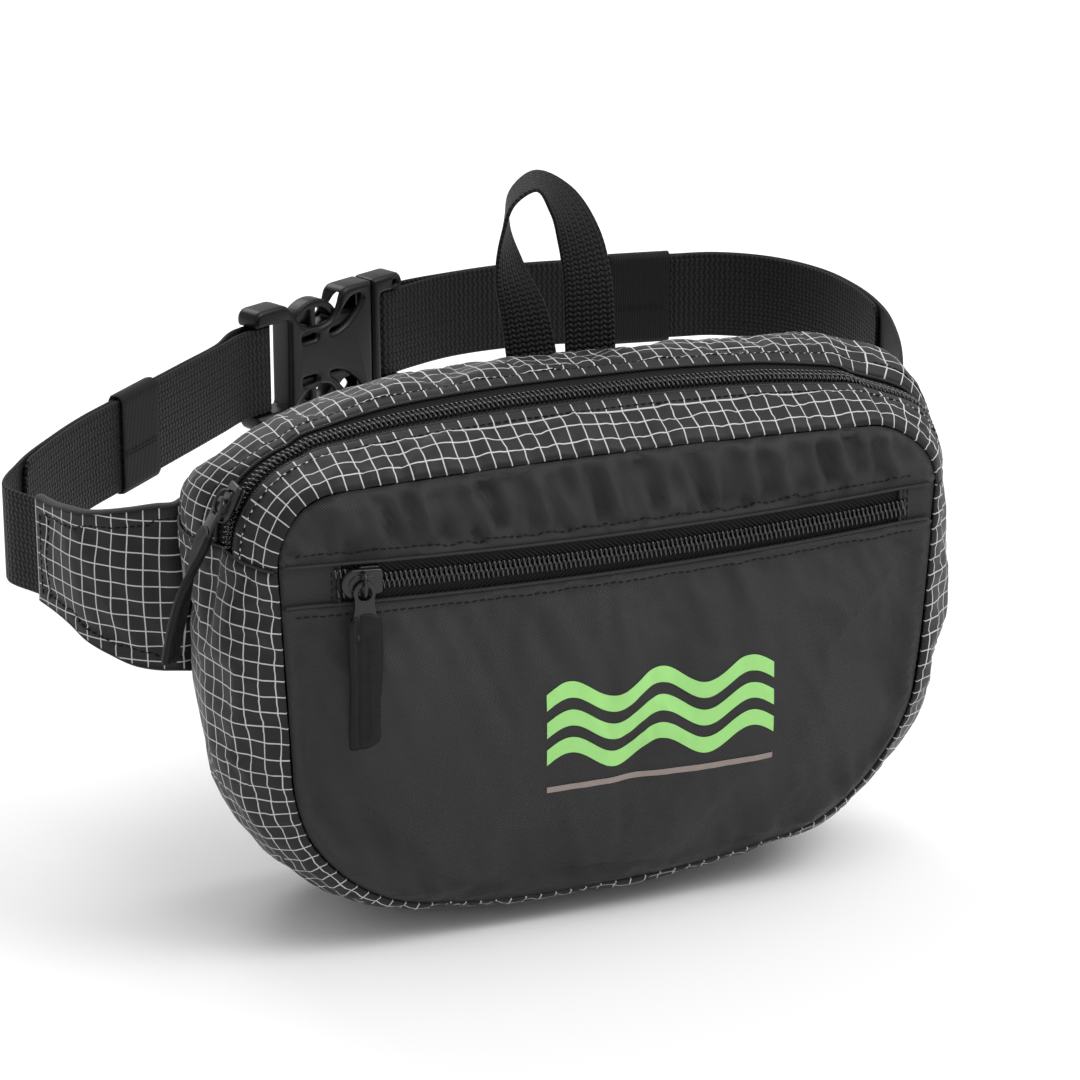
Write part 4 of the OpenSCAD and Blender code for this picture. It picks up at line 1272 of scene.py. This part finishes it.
def wing(label, side):
    """A padded triangle of grid cloth between the bag and the belt, hemmed round its free edges."""
    route = spline([[side * -p[0], p[1], p[2], p[3]] for p in WING], 1.6)
    plan, low, high = route[:, :2], route[:, 2], route[:, 3]
    tangent = unit(np.gradient(plan, axis=0))
    out = np.stack([tangent[:, 1], -tangent[:, 0]], 1) * side
    run = run_of(plan)
    share = np.linspace(0, 1, 34)
    z = low[:, None] + (high - low)[:, None] * share[None, :]
    upright = np.minimum(share, 1 - share)[None, :] * (high - low)[:, None]
    edge = np.minimum(upright, (run[-1] - run)[:, None])
    seed = 60 if side < 0 else 70
    wave = ripple(run[:, None] / 16, z / 15, seed) * 1.0 * step_up(2, 9, edge)
    puff = 2.6 * step_up(0, 22, edge)
    crease = ripple((run[:, None] - 0.6 * z) / 8, z / 30, seed + 1) * 0.6 * step_up(2, 7, edge)
    hem = 0.45 * (1 - step_up(5.0, 6.0, edge)) - 0.5 * np.exp(-(((edge - HEM_W) / 0.8) ** 2))
    for name, sign, full, cloth, slot, node in (
        ("wing_cloth_", 1, 1, GRID, "grid_fabric", "wing_" + label),
        ("wing_lining_", -1, 0.4, LINING, "lining", f"wing_{label}_lining"),
    ):
        gap = sign * (1.5 + (puff + wave + crease) * full + hem)
        points = np.concatenate([plan[:, None, :] + out[:, None, :] * gap[..., None], z[..., None]], 2)
        uv = np.stack(np.broadcast_arrays(run[:, None] * side, z), -1)
        faces = grid_faces(len(route), len(share))
        if (side < 0) == (sign > 0):
            faces = [f[::-1] for f in faces]
        o = make(name + label, points, faces, cloth, slot=slot, uv=uv, replaces=[node])
        thicken(o, WING_T)
        if sign > 0:
            wing_stitches(label, plan, out, z, run, tree_of(o))
    wing_hems(label, plan, z)


def at_bar(x, y):
    """A point in the buckle's own frame, in plan."""
    c, s = math.cos(BUCKLE_TURN), math.sin(BUCKLE_TURN)
    return [BUCKLE_AT[0] + x * c - y * s, BUCKLE_AT[1] + x * s + y * c]


def layer(route, side):
    """One of two webbing layers along a route in plan."""
    p = np.array(route, float)
    d = np.zeros((len(p), 2))
    d[1:-1] = p[2:, :2] - p[:-2, :2]
    d[0], d[-1] = p[1, :2] - p[0, :2], p[-1, :2] - p[-2, :2]
    d = unit(d)
    return (p[:, :2] + np.stack([-d[:, 1], d[:, 0]], 1) * (side * p[:, 2:3])).tolist()


def round_bar(side):
    """The webbing's way round a bar of the buckle, from the outer layer to the inner one."""
    a = np.radians(np.linspace(0, 180, 9))
    turn = [at_bar(side * (BAR_X - 3.05 * math.sin(q)), WRAP * math.cos(q)) for q in a]
    return [at_bar(side * BEFORE_BAR, WRAP)] + turn + [at_bar(side * BEFORE_BAR, -WRAP)]


def strap(name, plan, ends, body, replaces):
    """Belt webbing along a plan."""
    path = spline(np.column_stack([plan, np.full(len(plan), belt_z)]), 1.5)
    return ribbon(name, path, (0, 0, 1), belt_w, web_t, WEBBING, ends=ends, slot="webbing", body=body,
                  replaces=replaces)


def belts():
    """Each side's webbing is one strap: from its wing to the buckle, round the bar and back along itself."""
    plan = layer(LEFT, 1) + round_bar(-1) + layer(LEFT[LEFT_TAIL:], -1)[::-1]
    strap("belt_left", plan, (0, 7), "bag", ["belt_strap_left", "belt_tail_left"])
    plan = layer(RIGHT[: RIGHT_TAIL + 1], -1)[::-1] + round_bar(1)[::-1] + layer(RIGHT, 1)
    right = strap("belt_right", plan, (7, 0), None,
                  ["belt_strap_right", "belt_tail_right", "belt_strap_right_free", "belt_tail_right_free"])
    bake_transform(right)


def keeper(label, a, b, share, body):
    """Elastic band round both layers of webbing, with a double row of stitches on each face."""
    a, b = np.array(a[:2], float), np.array(b[:2], float)
    along = unit(b - a)
    centre = a + (b - a) * share
    side = np.array([-along[1], along[0]])
    half_t, half_h, r, long = 2.95, belt_w / 2 + 1.2, 2.2, 27.0
    ring = []
    for k, (sx, sz) in enumerate(((1, 1), (-1, 1), (-1, -1), (1, -1))):
        ring += arc(sx * (half_t - r), sz * (half_h - r), r, 90 * k, 90 * k + 90, 6)
    ring = resample(ring + ring[:1], 2.0)[:-1]
    path = np.column_stack([centre + side * ring[:, :1], belt_z + ring[:, 1]])
    band = ribbon("keeper_band_" + label, path, (along[0], along[1], 0), long, 1.0, ELASTIC, closed=True,
                  body=body, slot="elastic", replaces=["keeper_" + label])
    tree = tree_of(band)
    spread = np.linspace(-12.6, 12.6, 20)
    for k, height in enumerate((-4.6, -3.0)):
        for face, sign in (("a", -1), ("b", 1)):
            line = np.column_stack([centre + side * sign * 5 + along * spread[:, None],
                                    np.full(20, belt_z + height)])
            sewn(f"stitch_keeper_{label}_{k}{face}", tree, line, THREAD, body=body, slot="elastic",
                 radius=0.3, pitch=2.4, length=1.7)


# ---- buckle ----
BUCKLE_HALF_H, BUCKLE_T, MOUTH, RIM = 26.5, 12.5, 24.6, 19.3


def buckle_place():
    """The buckle's place: its own x runs from the female bar to the male one, its z is up."""
    spot = Vector((BUCKLE_AT[0], BUCKLE_AT[1], belt_z)) * MM
    return Matrix.Translation(spot) @ Matrix.Rotation(BUCKLE_TURN, 4, "Z")


def mirrored_loop(top):
    """A closed outline from its upper half, mirrored below."""
    return list(top) + [(x, -z) for x, z in reversed(top)]


def cut_out(o, cutter):
    """Takes one solid out of another and removes the cutter."""
    m = o.modifiers.new("cut", "BOOLEAN")
    m.operation, m.solver, m.object = "DIFFERENCE", "EXACT", cutter
    bpy.context.view_layer.update()
    mesh = bpy.data.meshes.new_from_object(o.evaluated_get(bpy.context.evaluated_depsgraph_get()))
    o.modifiers.remove(m)
    old, o.data = o.data, mesh
    bpy.data.meshes.remove(old)
    bpy.data.objects.remove(cutter)
    smooth_faces(mesh)


def box_outline(x0, x1, z0, z1, r):
    """A rectangle with rounded corners."""
    return rounded([(x0, z0), (x1, z0), (x1, z1), (x0, z1)], r)


def buckle_female(place):
    """Hollow shell with a waist, finger openings and slots, and a web across its throat."""
    top = [(-23.6, RIM), (-43, RIM), (-43, 24), (-40.5, BUCKLE_HALF_H), (-27, BUCKLE_HALF_H), (-23.5, 25),
           (-20.5, 20.4), (-17, 16.2), (-12, 13.5), (-6, 12.7), (-0.5, 13.9), (3.2, 17), (5.2, 20.8), (6, 24),
           (8.8, BUCKLE_HALF_H), (MOUTH, BUCKLE_HALF_H)]
    slanted = [(-1.5, 8.6), (3.5, 8.4), (10, 11), (16, 16), (19.4, 20.4), (17.6, 22.4), (12, 21.6),
               (7.6, 17.4), (3.4, 12.6)]
    loops = [rounded(mirrored_loop(top), 1.6, 3)]
    for side in (1, -1):
        loops.append(box_outline(-16.5, -8.0, side * 8, side * 11.2, 1.5))
        loops.append(rounded([(x, side * z) for x, z in slanted], 2.2))
    shell = flat_plate("buckle_female_shell", loops, BUCKLE_T, 2.1, place, PLASTIC, segments=4, slot="buckle",
                       replaces=["buckle_female"])
    room = [box_outline(-20.5, 28, -24.6, 24.6, 2.0)]
    cut_out(shell, flat_plate("buckle_room", room, 8.3, 0.6, place, PLASTIC))
    flat_plate("buckle_female_web", [box_outline(-21.5, -17, -4.5, 4.5, 1.0)], 8.6, 0.4, place, PLASTIC,
               slot="buckle")


def buckle_male(place):
    """Block with the webbing's slot, and the tongue that guides it into the shell."""
    top = [(30, RIM), (43, RIM), (43, 23.4), (41, BUCKLE_HALF_H), (MOUTH + 0.4, BUCKLE_HALF_H)]
    loops = [rounded(mirrored_loop(top), 1.6, 3), arc(38.5, 22.6, 0.9, 0, 330, 12)]
    flat_plate("buckle_male_block", loops, BUCKLE_T, 2.1, place, PLASTIC, segments=4, body="buckle_male",
               slot="buckle", replaces=["buckle_male"])
    flat_plate("buckle_tongue", [box_outline(-14, 26, -3.9, 3.9, 1.6)], 4.0, 0.6, place, PLASTIC,
               body="buckle_male", slot="buckle")


def buckle_bars(place):
    """Round bars that the webbing turns round."""
    for label, x, body in (("female", -BAR_X, "bag"), ("male", BAR_X, "buckle_male")):
        bar = put(np.stack([np.full(20, x), np.zeros(20), np.linspace(-24, 24, 20)], 1), place)
        tube(f"buckle_bar_{label}", bar, 2.0, PLASTIC, sides=14, body=body, slot="buckle")


def buckle_prongs(place):
    """Two springy prongs, each with a round head pierced by two eyes."""
    head = arc(-7.5, 9.5, 15, 176, 34, 22)
    shape = head + [(9.5, 14.4), (MOUTH, 13.6), (MOUTH, 9.4), (5, 9.4), (-21.5, 8.8)]
    eyes = [arc(-7.5, 10.6, 10.4, 166, 104, 10) + [(-10, 12.6)],
            arc(-7.5, 10.6, 10.4, 84, 22, 10) + [(-6.6, 12.6)]]
    for label, side in (("upper", 1), ("lower", -1)):
        loops = [[(x, side * z) for x, z in rounded(line, 0.8, 2)] for line in [shape] + eyes]
        flat_plate("prong_" + label, loops, 7.6, 1.1, place, PLASTIC, body="prong_" + label, slot="buckle",
                   replaces=["buckle_prong_" + label])


# ---- hang loop and print ----
# The hang loop's rows: a point of its middle line, and the direction across the webbing there
HANG = [[24, 1.5, 84, 1, 0, 0], [24, 3, 100, 1, 0, 0], [23.5, 4, 116, 1, 0.1, 0],
        [20.5, 5, 132, 0.95, 0.35, 0.15], [13, 5, 147, 0.65, 0.75, 0.3], [3, 4, 155, 0.3, 0.95, 0.1],
        [-6, 3, 150, 0.3, 0.95, 0],
        [-9, 3, 138, 0.45, 0.89, 0], [-7.5, 3, 124, 0.75, 0.66, 0], [-2, 2.5, 106, 0.97, 0.2, 0],
        [1.5, 1.5, 84, 1, 0, 0]]


def hang_loop():
    """Loop of narrower webbing sewn into the back seam, which bends just above it."""
    rows = spline(HANG, 1.5)
    loop = ribbon("hang_loop_web", rows[:, :3], rows[:, 3:], 20.0, 1.5, LOOP_WEB, body=None, slot="webbing",
                  replaces=["hang_loop"])
    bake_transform(loop)


def printed(tree, name, x, z_low, z_high, material, slot, replaces):
    """A thin band of print laid on a cloth, between two heights at each x."""
    rows = np.array([0, 0.012, 0.25, 0.5, 0.75, 0.988, 1])
    z = z_low[:, None] + (z_high - z_low)[:, None] * rows[None, :]
    points = np.stack([np.broadcast_to(x[:, None], z.shape), np.full(z.shape, front_y - 6), z], -1)
    uv = points[..., [0, 2]]
    at = settle(points.reshape(-1, 3))
    hits = [tree.ray_cast(Vector((p[0], p[1] - 20, p[2])), Vector((0, 1, 0))) for p in at]
    at = np.array([h[0] for h in hits]) + np.array([h[1] for h in hits]) * 0.18
    o = make(name, at, grid_faces(len(x), len(rows)), material, slot=slot, uv=uv, replaces=replaces)
    thicken(o, PRINT_T)


def wave_print(panel):
    """Three wave bands and a line, laid just off the lower front cloth."""
    tree = tree_of(panel)
    low, high = corners("print_waves")
    x0, x1 = low[0], high[0]
    band_h, pitch, rise, waves = 6.0, 10.5, 4.0, 2.5
    x = np.concatenate([[x0], np.linspace(x0 + 0.06, x1 - 0.06, 150), [x1]])
    wave = rise * np.sin(2 * math.pi * waves * (x - x0) / (x1 - x0))
    for band in range(3):
        top = high[2] - rise + wave - pitch * band
        printed(tree, f"print_wave_{band}", x, top - band_h, top, GREEN, "print_green",
                ["print_waves"] if band == 0 else [])
    low, high = corners("print_line")
    printed(tree, "print_rule", x, np.full(len(x), low[2]), np.full(len(x), high[2]), TAUPE, "print_taupe",
            ["print_line"])


# ---- studio ----
def aim(light, place, target):
    """Puts a light or camera somewhere, looking at a target."""
    o = bpy.data.objects.new(light.name, light)
    o.location = place
    o.rotation_mode = "QUATERNION"
    o.rotation_quaternion = (Vector(target) - Vector(place)).to_track_quat("-Z", "Y")
    bpy.context.scene.collection.objects.link(o)
    return o


def floor():
    """Pale ground under the bag."""
    bpy.ops.mesh.primitive_plane_add(size=14, location=(0, 2, cad_low[2] - BELLY_SAG * MM))
    ground = bpy.context.object
    ground.name = "floor"
    s = Shade("pale_floor", rough=0.8, specular=0.1)
    colour = s.grain(s.solid(3), grey(0.86), grey(0.88))
    ground.data.materials.append(s.finish(colour, s.solid(500), 0.02, 0.1))


def studio():
    """White surroundings, two soft panels and a wide sun."""
    scene = bpy.context.scene
    world = bpy.data.worlds.new("studio")
    scene.world = world
    world.use_nodes = True
    world.node_tree.nodes["Background"].inputs["Color"].default_value = (1, 1, 1, 1)
    world.node_tree.nodes["Background"].inputs["Strength"].default_value = 0.68
    middle = Vector((0, 0.03, 0.03))
    for name, place, size, power in (("key", (1.2, -0.8, 1.5), 0.9, 14), ("back", (-0.2, 1.3, 1.2), 0.9, 10)):
        light = bpy.data.lights.new(name, "AREA")
        light.size, light.energy = size, power
        aim(light, place, middle)
    sun = bpy.data.lights.new("sun", "SUN")
    sun.energy, sun.angle = 1.25, math.radians(60)
    aim(sun, (1.0, -0.5, 2.2), middle)
    scene.view_settings.view_transform = "Standard"


def camera():
    """The view: from the front left and above, with a long lens."""
    data = bpy.data.cameras.new("camera")
    data.lens, data.sensor_width = 134.0, 36.0
    bpy.context.scene.camera = aim(data, (-0.4984, -1.3136, 0.5376), (-0.0178, -0.0555, 0.0397))


# ---- assembly ----
def settled_cloths():
    """The front cloths and the wall's strips, filled, settled and wrinkled."""
    panels = front_panels()
    for (o, flat), seed, amount in zip(panels, (80, 85), (1.5, 3.2)):
        puff_panel(o, flat, seed, amount)
    strips = gussets()
    jobs = []
    for (o, flat), pressure in zip(panels, (0.25, 0.35)):
        held = distance_to(flat, SEAM_RING) < 1.2
        for top in (True, False):
            held |= np.abs(flat[:, 1] - window_edge(flat[:, 0], top)) < 5.4
        jobs.append((o, held, pressure, 0.012, 3.0))
    for (o, held), pressure in zip(strips, (0.3, 0.3, 0.35)):
        jobs.append((o, held, pressure, 0.02, 3.5))
    billow(jobs)
    for (o, flat), seed, depth in zip(panels, (90, 95), (4.6, 1.2)):
        wrinkle_panel(o, flat, seed, depth)
    return [o for o, _ in panels], [o for o, _ in strips]


camera()
floor()
studio()
panels, strips = settled_cloths()
front_end_tabs()
front_zip()
top_zip()
folds_and_stitches(panels, strips)
wave_print(panels[1])
for cloth in panels + strips:
    thicken(cloth, CLOTH_T)
seam_lines()
padded_back()
pocket_lining()
slider("front_slider_metal", front_slider_place(), "front_slider", True, ["front_zip_slider"])
slider("top_slider_metal", top_slider_place(), "top_slider", False, ["top_zip_slider"])
front_pivot, top_pivot = pivot_places()
pull("front_pull", front_pivot, "front_pull", ["front_zip_pull_tab", "front_zip_puller"], 0.6, 3)
pull("top_pull", top_pivot, "top_pull", ["top_zip_pull_tab", "top_zip_puller"], -9.0, 4, twist=-42)
wing("left", -1)
wing("right", 1)
belts()
keeper("left", LEFT[5], LEFT[8], 0.5, "keeper_left")
keeper("right", (108.4, 269.2), (178, 258), 0.6, "keeper_right")
buckle_female(buckle_place())
buckle_male(buckle_place())
buckle_bars(buckle_place())
buckle_prongs(buckle_place())
hang_loop()
